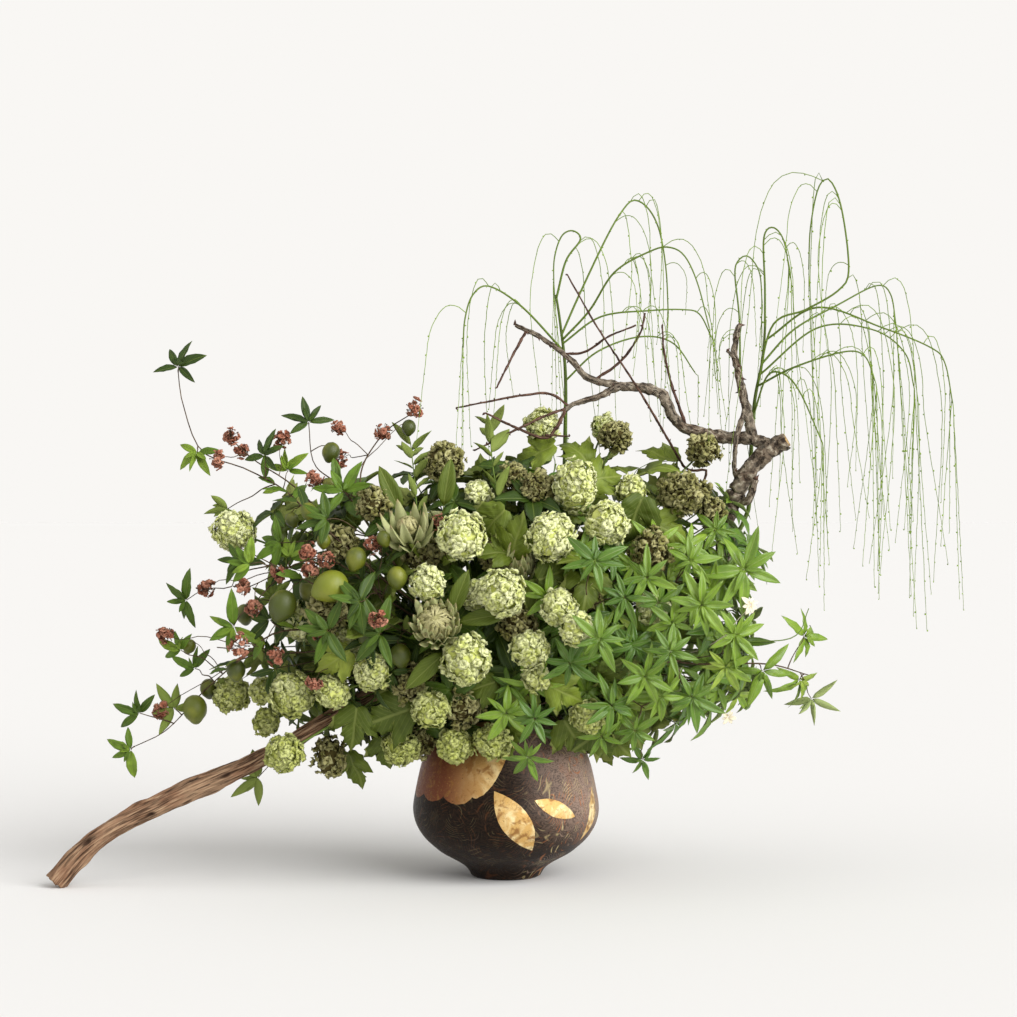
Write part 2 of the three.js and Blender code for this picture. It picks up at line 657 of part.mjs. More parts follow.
function makeProteaLeaves(proteas) {
  for (const [i, x, z, behind, length, dx, dz] of PROTEA_LEAVES) {
    if (!proteas[i].forks) continue;
    const along = point(dx, -0.25, dz).normalize();
    const sunk = along.clone().multiplyScalar(0.3 * length).addScaledVector(FRONT, -0.1 * LEAF_ARCH);
    const socket = (at) => at.clone().add(sunk);
    proteas[i].addNear([x, z, behind], onBunch, "leaf", (at, swell) =>
      blade(at, along, FRONT, length, length * 0.42, LEAF_ARCH, swell), true, socket);
  }
}

// ---------------------------------------------------------------- leafy sprays

// A spray's spine is the way of its stem, and a whorl is [x, z, behind, leaflet length, leaflets].
const WHORL_SPRAYS = [
  { spine: [[120, 330, 60], [40, 300, 30]],
    whorls: [[0, 292, -14, 62, 5], [8, 340, 28, 56, 5], [52, 282, -50, 56, 5], [40, 214, -88, 52, 5]] },
  { spine: [[130, 400, 70], [150, 500, 60]],
    whorls: [[160, 565, -48, 66, 5], [115, 382, -12, 66, 5], [168, 424, -66, 68, 5],
    [214, 500, 0, 60, 5]] },
  { spine: [[240, 400, 60], [320, 560, 40]],
    whorls: [[254, 536, -8, 62, 5], [332, 566, -4, 60, 5], [352, 486, -24, 72, 7], [300, 452, 4, 60, 5],
      [428, 550, -16, 72, 5], [376, 622, 10, 52, 5]] },
  { spine: [[200, 330, 50], [250, 300, 20]],
    whorls: [[190, 306, -16, 66, 5], [232, 260, -12, 60, 5], [172, 250, -8, 50, 5], [278, 322, -10, 60, 5],
      [245, 208, -10, 46, 4]] },
  { spine: [[260, 380, 60], [400, 400, 10]],
    whorls: [[250, 358, -8, 66, 5], [335, 320, -16, 74, 5], [395, 375, -14, 66, 5], [296, 402, -20, 60, 5],
      [412, 432, -10, 66, 5]] },
  { spine: [[350, 380, 60], [470, 380, 0], [545, 360, -10]],
    whorls: [[462, 368, -24, 70, 5], [528, 352, -20, 66, 5], [536, 430, 10, 58, 5],
    [560, 300, 20, 62, 5]] },
];
const WHORLS_BEHIND = [
  { spine: [[-120, 480, 60], [-200, 560, 20]],
    whorls: [[-200, 560, 0, 64, 5], [-60, 590, -34, 62, 5], [-90, 440, 6, 66, 5], [-70, 300, -10, 60, 5]] },
  { spine: [[200, 450, 60], [330, 470, 20]],
    whorls: [[330, 480, 0, 66, 5], [170, 620, 0, 60, 5], [130, 460, -24, 64, 5], [290, 360, 0, 64, 5],
      [70, 310, -10, 62, 5]] },
];

// A fruiting branch also bears limes, as [x, z, behind, radius].
const CITRUS_SPRAYS = [
  { spine: [[-230, 540, 90], [-345, 642, -20], [-400, 694, -10], [-470, 732, 0], [-548, 764, 0],
    [-582, 850, 0],
    [-590, 905, 0]],
    whorls: [[-590, 915, -14, 44, 5], [-555, 760, -6, 46, 5], [-500, 660, 4, 42, 4],
    [-434, 755, -10, 46, 5],
      [-392, 728, -14, 40, 4]],
    limes: [[-355, 655, -18, 14], [-385, 640, 14, 12]] },
  { spine: [[-200, 560, 90], [-290, 690, 30], [-345, 740, 10], [-355, 812, 0]],
    whorls: [[-355, 815, -4, 44, 5], [-292, 690, 0, 50, 5], [-322, 640, -34, 52, 4],
    [-405, 598, 10, 46, 4]],
    limes: [[-315, 762, -8, 16], [-318, 702, 0, 12], [-175, 806, -8, 13]] },
  { spine: [[-230, 470, 90], [-380, 540, 20], [-480, 590, 0]],
    whorls: [[-480, 596, -28, 46, 5], [-575, 495, -8, 44, 5], [-490, 448, -14, 52, 5],
    [-460, 560, -30, 50, 4],
      [-388, 572, 30, 44, 4]],
    limes: [[-315, 520, -14, 29], [-350, 512, 58, 21], [-402, 486, -4, 24], [-328, 602, 4, 12]] },
  { spine: [[-240, 430, 100], [-400, 440, 20], [-475, 390, 0], [-545, 330, -6], [-610, 262, -6],
    [-668, 232, -6]],
    whorls: [[-585, 405, -14, 40, 4], [-660, 292, -10, 42, 4], [-597, 300, 8, 44, 5],
    [-675, 226, -6, 40, 4],
      [-560, 372, -20, 38, 4], [-425, 460, 28, 50, 5]],
    limes: [[-560, 300, -16, 22], [-535, 336, 10, 16], [-486, 370, 2, 17], [-570, 412, 0, 12],
    [-446, 420, 30, 12]] },
  { spine: [[-180, 440, 90], [-240, 520, 40]],
    whorls: [[-320, 440, -20, 52, 5], [-262, 492, -28, 50, 5], [-226, 434, -4, 56, 5],
    [-446, 176, 0, 46, 4]],
    limes: [[-196, 536, -10, 17], [-270, 570, -6, 18], [-220, 606, -12, 12], [-250, 436, 40, 17],
    [-190, 396, 30, 18]] },
  { spine: [[-260, 470, 60], [-420, 500, 20]], back: true,
    whorls: [[-420, 500, -28, 50, 5], [-440, 400, 10, 50, 5], [-330, 620, 10, 50, 5]],
    limes: [[-380, 470, 10, 20], [-470, 470, 0, 17]] },
];

// Twigs of russet clusters, as [x, z, behind, radius].
const RUSSET_SPRIGS = [
  { spine: [[-250, 560, 110], [-370, 690, 30], [-450, 745, 10], [-492, 782, 0]],
    clusters: [[-495, 790, 0, 15], [-518, 748, -32, 14], [-475, 764, 24, 12], [-402, 782, 6, 15]] },
  { spine: [[-190, 560, 110], [-262, 700, 30], [-225, 790, 10], [-168, 832, 0]],
    clusters: [[-165, 840, -14, 15], [-222, 800, -4, 15], [-302, 806, 10, 14], [-344, 712, -24, 16],
      [-296, 750, 30, 12], [-116, 636, 10, 12]] },
  { spine: [[-220, 500, 110], [-330, 570, 40], [-460, 520, 20]],
    clusters: [[-356, 584, -24, 15], [-324, 566, -22, 14], [-352, 548, -14, 16], [-410, 545, -10, 13],
      [-474, 518, -8, 15], [-456, 482, -8, 15], [-540, 515, 10, 16], [-240, 594, 14, 15]] },
  { spine: [[-220, 420, 120], [-380, 400, 60], [-520, 410, 20]],
    clusters: [[-612, 432, -14, 16], [-480, 415, -44, 18], [-415, 392, -8, 14], [-344, 345, -36, 13],
      [-622, 296, 6, 14], [-230, 460, -40, 15], [-334, 442, 6, 14]] },
];

const outwards = (at) => at.clone().sub(BUNCH_CENTRE).multiply(point(0.5, 1.6, 1)).normalize();

function addWhorl(plant, entry, place, slim) {
  const [, , , length, count] = entry;
  const pose = (at) => {
    const side = Math.sign(at.y) || -1;
    seed = Math.round(10 * (entry[0] + 2 * entry[1] + at.y)) + 20000;
    const normal = outwards(at).add(point(between(-0.3, 0.3), side * 0.9, between(-0.1, 0.5)));
    return { normal, arch: between(0.0008, 0.0025), roll: between(0, 6.28) };
  };
  // Its twig meets it under one leaflet, close to the hub.
  const socket = (at) => {
    const { normal, roll, arch } = pose(at);
    const out = 0.26 * length;
    const place = facing(normal, roll).setPosition(at);
    return point(out, -0.02 * length, -arch * length * out).applyMatrix4(place);
  };
  plant.addNear(entry, place, "whorl", (at, swell) => {
    const { normal, roll, arch } = pose(at);
    return plate(whorlOutline(count, length, length * slim), BLADE, arch, at, normal, roll, swell);
  }, true, socket);
}

function growSpine(plant, spine, place) {
  return DEPTH_SHIFTS.some((shift) => {
    const points = spine.map((entry) => place(entry));
    for (const at of points) at.y += shift;
    return plant.grow(points, STEM, 3, 1.5);
  });
}

function makeSprays(prefix, sprays, material, place, slim) {
  sprays.forEach(({ spine, whorls, limes = [], back = false }, i) => {
    const plant = new Plant(`${prefix}_${i + 1}`, material);
    const put = back ? behindBunch : place;
    if (!growSpine(plant, spine, put)) return miss(plant, "spine", spine[0]);
    for (const entry of limes) {
      plant.addNear(entry, put, "lime", (at, swell) => lime(at, entry[3], entry[0] * 0.01, swell), true);
    }
    for (const entry of whorls) addWhorl(plant, entry, put, slim);
  });
}

// A ragged russet cluster: a ball whose points and hollows stand for its florets.
function cluster(at, radius, turn, swell = 0) {
  const ball = new THREE.IcosahedronGeometry(1, 0);
  const spin = new THREE.Euler(turn, turn * 0.7, 0);
  return reshape(ball, (v) => {
    const way = v.clone().normalize();
    const size = radius * (0.97 + 0.2 * Math.sin(7 * way.x + turn) * Math.sin(5 * way.y)) + swell;
    return way.multiplyScalar(size).applyEuler(spin).multiply(point(1, 1, 0.8)).add(at);
  });
}

function makeRusset() {
  RUSSET_SPRIGS.forEach(({ spine, clusters }, i) => {
    const plant = new Plant(`russet_sprig_${i + 1}`, RUSSET);
    if (!growSpine(plant, spine, onBunch)) return miss(plant, "spine", spine[0]);
    for (const entry of clusters) {
      plant.addNear(entry, onBunch, "cluster", (at, swell) => cluster(at, entry[3], entry[0], swell), true);
    }
  });
}

// Upright shoots with narrow leaves all round: the way of the shoot, as [x, z, behind].
const NARROW_SHOOTS = [
  [[-150, 620, 60], [-165, 720, 20], [-172, 780, 10]],
  [[-10, 640, 60], [-24, 740, 20], [-30, 815, 10]],
  [[440, 420, 60], [520, 430, 0], [545, 480, 0]],
];
const SHOOT_LEAVES = 6;

function makeShoots() {
  NARROW_SHOOTS.forEach((spine, i) => {
    const plant = new Plant(`narrow_shoot_${i + 1}`, CITRUS);
    if (!growSpine(plant, spine, onBunch)) return miss(plant, "spine", spine[0]);
    const low = plant.forks[plant.forks.length - 2];
    const up = plant.tip.clone().sub(low).normalize();
    for (let k = 0; k < SHOOT_LEAVES; k++) {
      const from = plant.tip.clone().lerp(low, 0.03 + 0.17 * k);
      const along = point(Math.cos(2.4 * k), Math.sin(2.4 * k), 0).addScaledVector(up, 0.9).normalize();
      from.addScaledVector(along, -2);
      plant.add((swell) => blade(from, along, up, 40, 11, 6, swell), 1);
    }
  });
}

// Lobed leaves hang on stems of their own: [x, z, behind, size, roll in degrees].
const LOBED_SPRAYS = [
  { spine: [[60, 620, 90], [90, 740, 60]], leaves: [[62, 762, 30, 66, 200], [132, 762, 30, 58, 130],
    [172, 716, 24, 60, 20], [286, 755, 44, 60, 160], [-20, 640, 20, 60, 220]] },
  { spine: [[180, 560, 110], [236, 640, 50]], leaves: [[236, 652, 16, 70, 250], [284, 626, 44, 60, 330],
    [66, 510, 44, 62, 300], [82, 540, 26, 56, 20]] },
  { spine: [[-180, 360, 110], [-270, 290, 40]], leaves: [[-272, 276, 10, 62, 260],
    [-200, 288, 20, 76, 200], [-276, 200, -42, 58, 285], [-220, 226, 10, 54, 275],
    [-300, 390, 18, 56, 210]] },
  { spine: [[60, 380, 110], [110, 290, 40]], leaves: [[118, 256, 14, 66, 300], [30, 330, 44, 56, 240],
    [-40, 340, 40, 52, 200], [100, 330, -2, 56, 330]] },
  { spine: [[-60, 560, 60], [-120, 640, 30]], back: true, leaves: [[-170, 660, 10, 60, 120],
    [-30, 640, 10, 66, 60], [60, 650, 10, 60, 100], [-260, 540, 10, 60, 180], [20, 320, 10, 60, 270]] },
];

function makeLobed() {
  LOBED_SPRAYS.forEach(({ spine, leaves, back = false }, i) => {
    const plant = new Plant(`lobed_spray_${i + 1}`, LOBED);
    const put = back ? behindBunch : onBunch;
    const side = back ? 1 : -1;
    if (!growSpine(plant, spine, put)) return miss(plant, "spine", spine[0]);
    for (const entry of leaves) {
      const [, , , size, roll] = entry;
      plant.addNear(entry, put, "lobed leaf", (at, swell) => {
        seed = Math.round(10 * (entry[0] + 2 * entry[1] + at.y)) + 20000;
        const normal = outwards(at).add(point(between(-0.4, 0.4), side, between(0, 0.6)));
        return plate(lobedOutline(size), BLADE, 0.003, at, normal, -side * degrees(roll), swell);
      }, true);
    }
  });
}

// Two small pale clematis flowers on one thin stem.
const PALE_FLOWERS = [[440, 486, -10, 15], [400, 285, -4, 13]];

function makePale() {
  const plant = new Plant("pale_flowers", PALE);
  if (!growSpine(plant, [[330, 400, 90], [410, 440, 10]], onBunch)) return;
  for (const entry of PALE_FLOWERS) {
    plant.addNear(entry, onBunch, "flower", (at, swell) =>
      plate(whorlOutline(6, entry[3], 9), 5, -0.012, at, outwards(at).add(FRONT), 0, swell), true);
  }
}

// ---------------------------------------------------------------- weeping strands

// Arching rods, as [x, z, y]; each hangs threads from stretches of its length.
const CENTRE_STRANDS = {
  root: [[100, 640, 50], [106, 755, 36]],
  stem: [[106, 755, 36], [107, 900, 28], [98, 990, 26], [90, 1045, 20]],
  rods: [
    { line: [[102, 945, 28], [30, 1022, -10], [-30, 1060, -60], [-60, 1044, -74], [-74, 1000, -82],
    [-77, 950, -86]], drops: [[0.5, 740], [1, 745], [0.97, 760]] },
    { line: [[91, 1040, 20], [108, 1106, 10], [134, 1144, 10], [120, 1160, 16], [100, 1150, 20],
    [87, 1110, 22], [86, 1060, 22]], drops: [[0.3, 760], [1, 760]] },
    { line: [[99, 970, 26], [132, 1045, 36], [180, 1146, 44], [208, 1194, 60], [230, 1215, 72],
    [256, 1200, 84], [276, 1160, 90], [288, 1090, 94], [292, 1010, 96]], drops: [[0.45, 900],
    [0.55, 860], [1, 800]] },
    { line: [[100, 962, 26], [150, 1016, 0], [196, 1086, -46], [262, 1124, -64], [295, 1130, -72],
    [322, 1114, -80], [345, 1065, -88], [366, 985, -92]], drops: [[0.45, 880], [0.6, 820], [1, 780]] },
    { line: [[101, 956, 26], [170, 1005, 24], [256, 1016, 20], [318, 1018, 34], [348, 1010, 42],
    [370, 968, 50]], drops: [[0.5, 850], [1, 770]] },
    { line: [[107, 890, 28], [164, 942, 30], [240, 969, 44], [300, 958, 50],
    [340, 905, 52]], drops: [[0.7, 850], [1, 790]] },
  ],
};
const RIGHT_STRANDS = {
  root: [[420, 620, 70], [440, 745, 60]],
  stem: [[440, 745, 60], [447, 850, 56], [462, 930, 52], [467, 1000, 50]],
  rods: [
    { line: [[442, 800, 58], [424, 856, 66], [420, 1000, 84], [412, 1080, 94], [418, 1106, 98],
    [436, 1114, 102], [456, 1085, 104], [461, 1030, 106]], drops: [[0.5, 880], [1, 800], [0.93, 850]] },
    { line: [[466, 985, 50], [466, 1060, 44], [464, 1146, 36], [480, 1166, 30], [500, 1142, 24],
    [512, 1075, 20]], drops: [[0.5, 860], [0.9, 700], [1, 620]] },
    { line: [[452, 880, 54], [480, 990, 20], [540, 1018, 0], [600, 1054, -10], [617, 1092, -12],
    [604, 1200, -14], [582, 1252, -10], [562, 1236, -4], [548, 1165, 2],
    [545, 1090, 4]], drops: [[0.62, 940], [0.75, 700], [1, 520], [0.97, 560]] },
    { line: [[460, 920, 52], [518, 982, 70], [598, 1027, 84], [666, 1061, 96], [692, 1046, 100],
    [702, 990, 102]], drops: [[0.45, 640], [0.7, 560], [1, 440], [0.98, 500]] },
    { line: [[470, 965, 44], [560, 1022, 6], [676, 986, -20], [764, 950, -34], [790, 922, -38],
    [804, 850, -42]], drops: [[0.45, 600], [1, 480], [0.98, 500]] },
    { line: [[456, 900, 54], [560, 985, 40], [660, 982, 30], [718, 940, 24],
    [734, 880, 20]], drops: [[0.7, 560], [0.98, 500], [1, 440]] },
    { line: [[452, 880, 54], [518, 914, -20], [608, 942, -50], [646, 934, -60],
    [664, 890, -66]], drops: [[0.55, 620], [0.9, 560], [1, 500]] },
    { line: [[446, 830, 58], [470, 898, 10], [500, 902, -16], [530, 868, -36],
    [568, 782, -54]], drops: [[0.6, 620], [0.97, 560], [1, 480]] },
  ],
};
const ROD = 2.6;
const THREAD = 1.1;
const ROD_STEP = 95;

// A thread that leaves its rod along the rod, or at its tip, and hangs down to a height.
function threadLine(from, forward, fall, lean) {
  const offset = (x, z) => from.clone().add(point(x, forward ? -12 : 0, -z));
  if (!forward) return [from, offset(0.3 * lean, 0.4 * fall), offset(lean, fall)];
  return [from, offset(26 * forward, -6), offset(46 * forward, 40), offset(46 * forward + lean, fall)];
}

function makeStrands(name, { root, stem, rods }) {
  const plant = new Plant(name, STRAND);
  const path = (line) => line.map(([x, z, y]) => seen(x, z, y));
  if (!plant.grow(path(root), 5, 4, 3.6)) return;
  if (!plant.add((swell) => limb(path(stem), 3.8, ROD, 4, 4, swell))) miss(plant, "stem", stem[0]);
  const forks = forksAlong(ringCentres(path(stem), 4), 0);
  for (const { line, drops } of rods) {
    const points = path(line);
    points[0] = forks.reduce((a, b) => (b.distanceTo(points[0]) < a.distanceTo(points[0]) ? b : a));
    const steps = Math.round(new THREE.CatmullRomCurve3(points).getLength() / ROD_STEP);
    if (!plant.add((swell) => limb(points, 0.7 * ROD, 1.6, 3, steps, swell))) miss(plant, "rod", line[1]);
    const rings = ringCentres(points, steps);
    for (const [t, end] of drops) {
      const i = Math.round(t * steps);
      const from = i < steps ? rings[i] : rings[i].clone().lerp(rings[i - 1], 0.08);
      const forward = i < steps && t < 0.9 ? Math.sign(rings[i + 1].x - from.x) : 0;
      const lean = between(-0.05, 0.05) * (from.z - end);
      const made = [1, 0.85, 0.7, 0.55].find((share) => {
        const line = threadLine(from, forward, (from.z - end) * share, lean * share);
        return plant.add((swell) => spindle(line, THREAD, forward ? 4 : 3, swell));
      });
      if (!made) miss(plant, "thread", from.toArray());
    }
  }
}

// ---------------------------------------------------------------- everything in its order

makeDriftwood();
const proteas = makeProteas();
const snowballs = [
  ...makeBlooms("snowball", SNOWBALLS, SNOWBALL, onBunch, 0.13),
  ...makeBlooms("snowball_rear", SNOWBALLS_BEHIND, SNOWBALL, behindBunch, 0.13),
];
const dried = [
  ...makeBlooms("dried_hydrangea", DRIED_HEADS, DRIED, onBunch, 0.2),
  ...makeBlooms("dried_hydrangea_rear", DRIED_BEHIND, DRIED, behindBunch, 0.2),
];
makeOldBranch();
makeLongTwig();
makeStrands("strands_centre", CENTRE_STRANDS);
makeStrands("strands_right", RIGHT_STRANDS);
makeStems(proteas);
makeStems(snowballs);
makeStems(dried);
makeSprays("citrus_branch", CITRUS_SPRAYS, CITRUS, onBunch, 0.36);
makeSprays("whorl_spray", WHORL_SPRAYS, WHORL, onBunch, 0.3);
makeSprays("whorl_rear", WHORLS_BEHIND, WHORL, behindBunch, 0.3);
makeRusset();
makeShoots();
makePale();
makeProteaLeaves(proteas);
makeLobed();

const arrangement = new THREE.Group();
arrangement.add(meshOf("vase", vase, LACQUER));
arrangement.add(meshOf("foam", foam(), FOAM));
for (const plant of plants) {
  if (!plant.pieces.length) continue;
  const whole = plant.pieces.reduce((a, b) => a.add(b));
  arrangement.add(meshOf(plant.name, largestBody(whole), plant.material));
}
arrangement.userData = { missed, moved };

export default arrangement;
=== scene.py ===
# %% [markdown]
# # An ikebana arrangement in a lacquered vase
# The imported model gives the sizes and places. This script dresses it: every bloom, leaf, twig and
# thread is modelled finely, and every surface gets a finish made of nodes.

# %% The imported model
import math
import random

import bmesh
import bpy
import numpy as np
from mathutils import Matrix, Vector, noise


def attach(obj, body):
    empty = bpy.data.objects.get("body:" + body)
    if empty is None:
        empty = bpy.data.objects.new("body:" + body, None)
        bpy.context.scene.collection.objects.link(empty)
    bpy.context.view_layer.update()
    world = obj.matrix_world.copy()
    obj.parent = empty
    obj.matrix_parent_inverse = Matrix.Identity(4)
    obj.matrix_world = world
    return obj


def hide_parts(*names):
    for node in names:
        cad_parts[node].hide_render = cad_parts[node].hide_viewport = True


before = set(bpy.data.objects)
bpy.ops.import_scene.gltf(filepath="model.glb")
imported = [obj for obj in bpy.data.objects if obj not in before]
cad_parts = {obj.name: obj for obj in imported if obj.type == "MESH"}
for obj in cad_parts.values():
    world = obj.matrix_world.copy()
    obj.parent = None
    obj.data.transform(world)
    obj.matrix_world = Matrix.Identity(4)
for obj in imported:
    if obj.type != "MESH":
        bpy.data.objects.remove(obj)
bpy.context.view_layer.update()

# %% [markdown]
# ## The view
# The photograph looks level at the vase from about four metres away. Places in the tables below are
# millimetres: x to the right and z up as seen from the front, and y the depth behind the vase's axis.
# A point off that plane looks smaller or larger with distance, so `seen` moves it along the line of
# sight.

# %% Camera
VIEW_DISTANCE = 4000
VIEW_HEIGHT = 660
VIEW_X = 4.5
PHOTO_PIXELS = 1017
PIXEL = 1.8  # what a pixel of the photograph spans at the vase's axis
SENSOR = 36
MM = 0.001


def seen(x, z, y):
    """A point given by its place in the front view and its depth."""
    far = 1 + y / VIEW_DISTANCE
    return Vector((x * far, y, VIEW_HEIGHT + (z - VIEW_HEIGHT) * far))


view = bpy.data.cameras.new("camera")
view.sensor_width = SENSOR
view.lens = SENSOR * VIEW_DISTANCE / (PIXEL * PHOTO_PIXELS)
camera = bpy.data.objects.new("camera", view)
camera.location = (VIEW_X * MM, -VIEW_DISTANCE * MM, VIEW_HEIGHT * MM)
camera.rotation_euler = (math.radians(90), 0, 0)  # level
bpy.context.collection.objects.link(camera)
bpy.context.scene.camera = camera
bpy.context.scene.view_settings.view_transform = "Standard"
print("lens", round(view.lens, 1), "mm")

# %% [markdown]
# ## Floor and light
# The photograph has a plain pale ground, a large soft light low on the right, and a little light from
# all around. Two wide suns give the blooms their form. A pale sky gives the even light: it shows at its
# full strength behind the object, and lights the object with a part of it, as a white studio wall does.
# The floor's colour is worked out so that, lit, it looks like the sky, and no horizon shows.

# %% Floor and light
SKY = (0.947, 0.93, 0.905)
SKY_LIGHT = 0.6  # the part of the sky's brightness that lights the object
SUNS = [
    # name, strength, spread, tilt from straight down, turn from the camera's side
    ("key_light", 3.6, 55, 62, 50),
    ("fill_light", 0.4, 60, 45, -60),
]
FLOOR_SIZE = 200

world = bpy.data.worlds.new("pale_studio")
world.use_nodes = True
backdrop = world.node_tree.nodes["Background"]
backdrop.inputs["Color"].default_value = (*SKY, 1)
rays = world.node_tree.nodes.new("ShaderNodeLightPath")
dimmer = world.node_tree.nodes.new("ShaderNodeMapRange")
dimmer.inputs["To Min"].default_value = SKY_LIGHT
world.node_tree.links.new(rays.outputs["Is Camera Ray"], dimmer.inputs["Value"])
world.node_tree.links.new(dimmer.outputs["Result"], backdrop.inputs["Strength"])
bpy.context.scene.world = world

for name, strength, spread, tilt, turn in SUNS:
    sun = bpy.data.lights.new(name, "SUN")
    sun.energy = strength
    sun.angle = math.radians(spread)
    lamp = bpy.data.objects.new(name, sun)
    lamp.rotation_euler = (math.radians(tilt), 0, math.radians(turn))
    bpy.context.collection.objects.link(lamp)

bpy.ops.mesh.primitive_plane_add(size=FLOOR_SIZE)
floor = bpy.context.object
floor.name = "floor"
print("floor and light are in place")

# %% [markdown]
# ## Finishes
# Each finish is a Principled shader with a few nodes in front of it. `Finish` keeps the wiring short: a
# socket takes a plain value, a colour's six-figure code or another node's output. `Value` wraps such an
# output, so that a sum is written as usual, and each step of it becomes a Math node.


# %% Node values
def tone(code):
    """A colour from its usual six-figure code, as the linear values that shaders use."""
    parts = [int(code[i:i + 2], 16) / 255 for i in (0, 2, 4)]
    return [*(((c + 0.055) / 1.055) ** 2.4 if c > 0.04 else c / 12.92 for c in parts), 1]


class Value:
    """A node's output in a finish."""

    def __init__(self, finish, socket):
        self.finish = finish
        self.socket = socket

    def __add__(self, other):
        return self.finish.math("ADD", self, other)

    def __sub__(self, other):
        return self.finish.math("SUBTRACT", self, other)

    def __rsub__(self, other):
        return self.finish.math("SUBTRACT", other, self)

    def __mul__(self, other):
        return self.finish.math("MULTIPLY", self, other)

    def __truediv__(self, other):
        return self.finish.math("DIVIDE", self, other)

    def __pow__(self, other):
        return self.finish.math("POWER", self, other)

    def __abs__(self):
        return self.finish.math("ABSOLUTE", self)


# %% A way to write finishes
class Finish:
    """One procedural material."""

    def __init__(self, name, roughness, specular):
        self.material = bpy.data.materials.new(name)
        self.material.use_nodes = True
        self.shader = self.material.node_tree.nodes["Principled BSDF"]
        self.put("Roughness", roughness)
        self.put("Specular IOR Level", specular)

    def put(self, name, value):
        self.plug(self.shader.inputs[name], value)

    def plug(self, socket, value):
        if isinstance(value, Value):
            self.material.node_tree.links.new(value.socket, socket)
        else:
            socket.default_value = tone(value) if isinstance(value, str) else value

    def node(self, kind, inputs, output=0, **settings):
        made = self.material.node_tree.nodes.new("ShaderNode" + kind)
        for key, value in settings.items():
            setattr(made, key, value)
        for key, value in inputs.items():
            self.plug(made.inputs[key], value)
        return Value(self, made.outputs[output])

    def math(self, operation, a, b=0.0):
        return self.node("Math", {0: a, 1: b}, operation=operation)

    def mix(self, share, a, b):
        return self.node("Mix", {0: share, 6: a, 7: b}, 2, data_type="RGBA")

    def ease(self, value, low, high, out_low=0.0, out_high=1.0):
        return self.node("MapRange", {0: value, 1: low, 2: high, 3: out_low, 4: out_high},
                         interpolation_type="SMOOTHSTEP")

    def over(self, colour, other, value, low, high, most=1.0):
        """A colour, with another over it where a value is high."""
        return self.mix(self.ease(value, low, high, 0.0, most), colour, other)

    def place(self, stretch=(1, 1, 1)):
        coords = self.node("TexCoord", {}, "Object")
        return self.node("Mapping", {"Vector": coords, "Scale": stretch})

    def noise(self, scale, detail, stretch=(1, 1, 1), distortion=0.0, where=None):
        return self.node("TexNoise", {"Vector": where or self.place(stretch), "Scale": scale,
                                      "Detail": detail, "Distortion": distortion}, "Fac")

    def tint(self):
        """What tells one leaf or floret from the next."""
        return self.node("Attribute", {}, "Fac", attribute_name="tint")

    def flat(self):
        """Across and along a leaf, from its own flat map; on a limb, along and round it."""
        flat = self.node("UVMap", {}, uv_map="leaf")
        return [self.node("SeparateXYZ", {0: flat}, axis) for axis in (0, 1)]

    def around(self, girth, stretch):
        """Places on a limb's skin for a grain that is drawn out along it, from the limb's own map."""
        along, turn = self.flat()
        turn = turn * math.tau
        sides = [self.math(wave, turn) * girth for wave in ("COSINE", "SINE")]
        return self.node("CombineXYZ", dict(enumerate([along / stretch, *sides])))

    def colour(self, value):
        self.base = value
        self.put("Base Color", value)

    def bump(self, height, distance, strength=1.0):
        self.put("Normal", self.node("Bump", {"Height": height, "Distance": distance, "Strength": strength}))


sunlight = sum(strength * math.cos(math.radians(tilt)) for _, strength, _, tilt, _ in SUNS) / math.pi
floor_finish = Finish("pale_floor", 1.0, 0.0)
floor_finish.colour([*(part / (SKY_LIGHT * part + sunlight) for part in SKY), 1])
floor.data.materials.append(floor_finish.material)
print("floor colour", [round(part, 3) for part in floor_finish.base[:3]])

# %% [markdown]
# ## Stamps and sheets
# A leaf or a petal is modelled once as a stamp and set down many times, bent a little differently each
# time. A tube is a stamp that is swept along a line. Every stamp keeps a flat map of itself.


# %% Stamps
def read(rows, name, width):
    """One kind of value of all of a mesh's points or corners."""
    values = np.empty(len(rows) * width)
    rows.foreach_get(name, values)
    return values.reshape(-1, width)


class Stamp:
    """A small shape that is set down many times, with its flat map: one half for each side of it."""

    def __init__(self, bm):
        bmesh.ops.recalc_face_normals(bm, faces=bm.faces)
        bm.normal_update()
        flat = bm.loops.layers.uv.new("leaf")
        for face in bm.faces:
            face.smooth = True
            under = 1 if face.normal.z < 0 else 0
            for loop in face.loops:
                loop[flat].uv = (loop.vert.co.x + 0.5 + under, loop.vert.co.y)
        self.take(bpy.data.meshes.new("stamp"), bm)

    def take(self, mesh, bm):
        bm.to_mesh(mesh)
        bm.free()
        self.mesh = mesh
        self.rest = read(mesh.vertices, "co", 3)
        self.flat = read(mesh.uv_layers["leaf"].data, "uv", 2)


def posed(rest, matrix, curl, sway, twist):
    """A stamp's points, curled back along its length, swayed sideways, twisted, and put in place."""
    x, y, z = rest.T
    turned = twist * y
    x, z = x * np.cos(turned) - z * np.sin(turned), x * np.sin(turned) + z * np.cos(turned)
    x = x + sway * y * y
    if abs(curl) > 0.01:
        z, y = z - (1 - np.cos(curl * y)) / curl, np.sin(curl * y) / curl
    m = np.array(matrix)
    return np.stack([x, y, z], 1) @ m[:3, :3].T + m[:3, 3]


# %% Tubes
def spread(values, count):
    """Values evenly spaced along a list of them."""
    return np.interp(np.linspace(0, len(values) - 1, count), range(len(values)), values)


def length_of(points):
    return sum((b - a).length for a, b in zip(points, points[1:]))


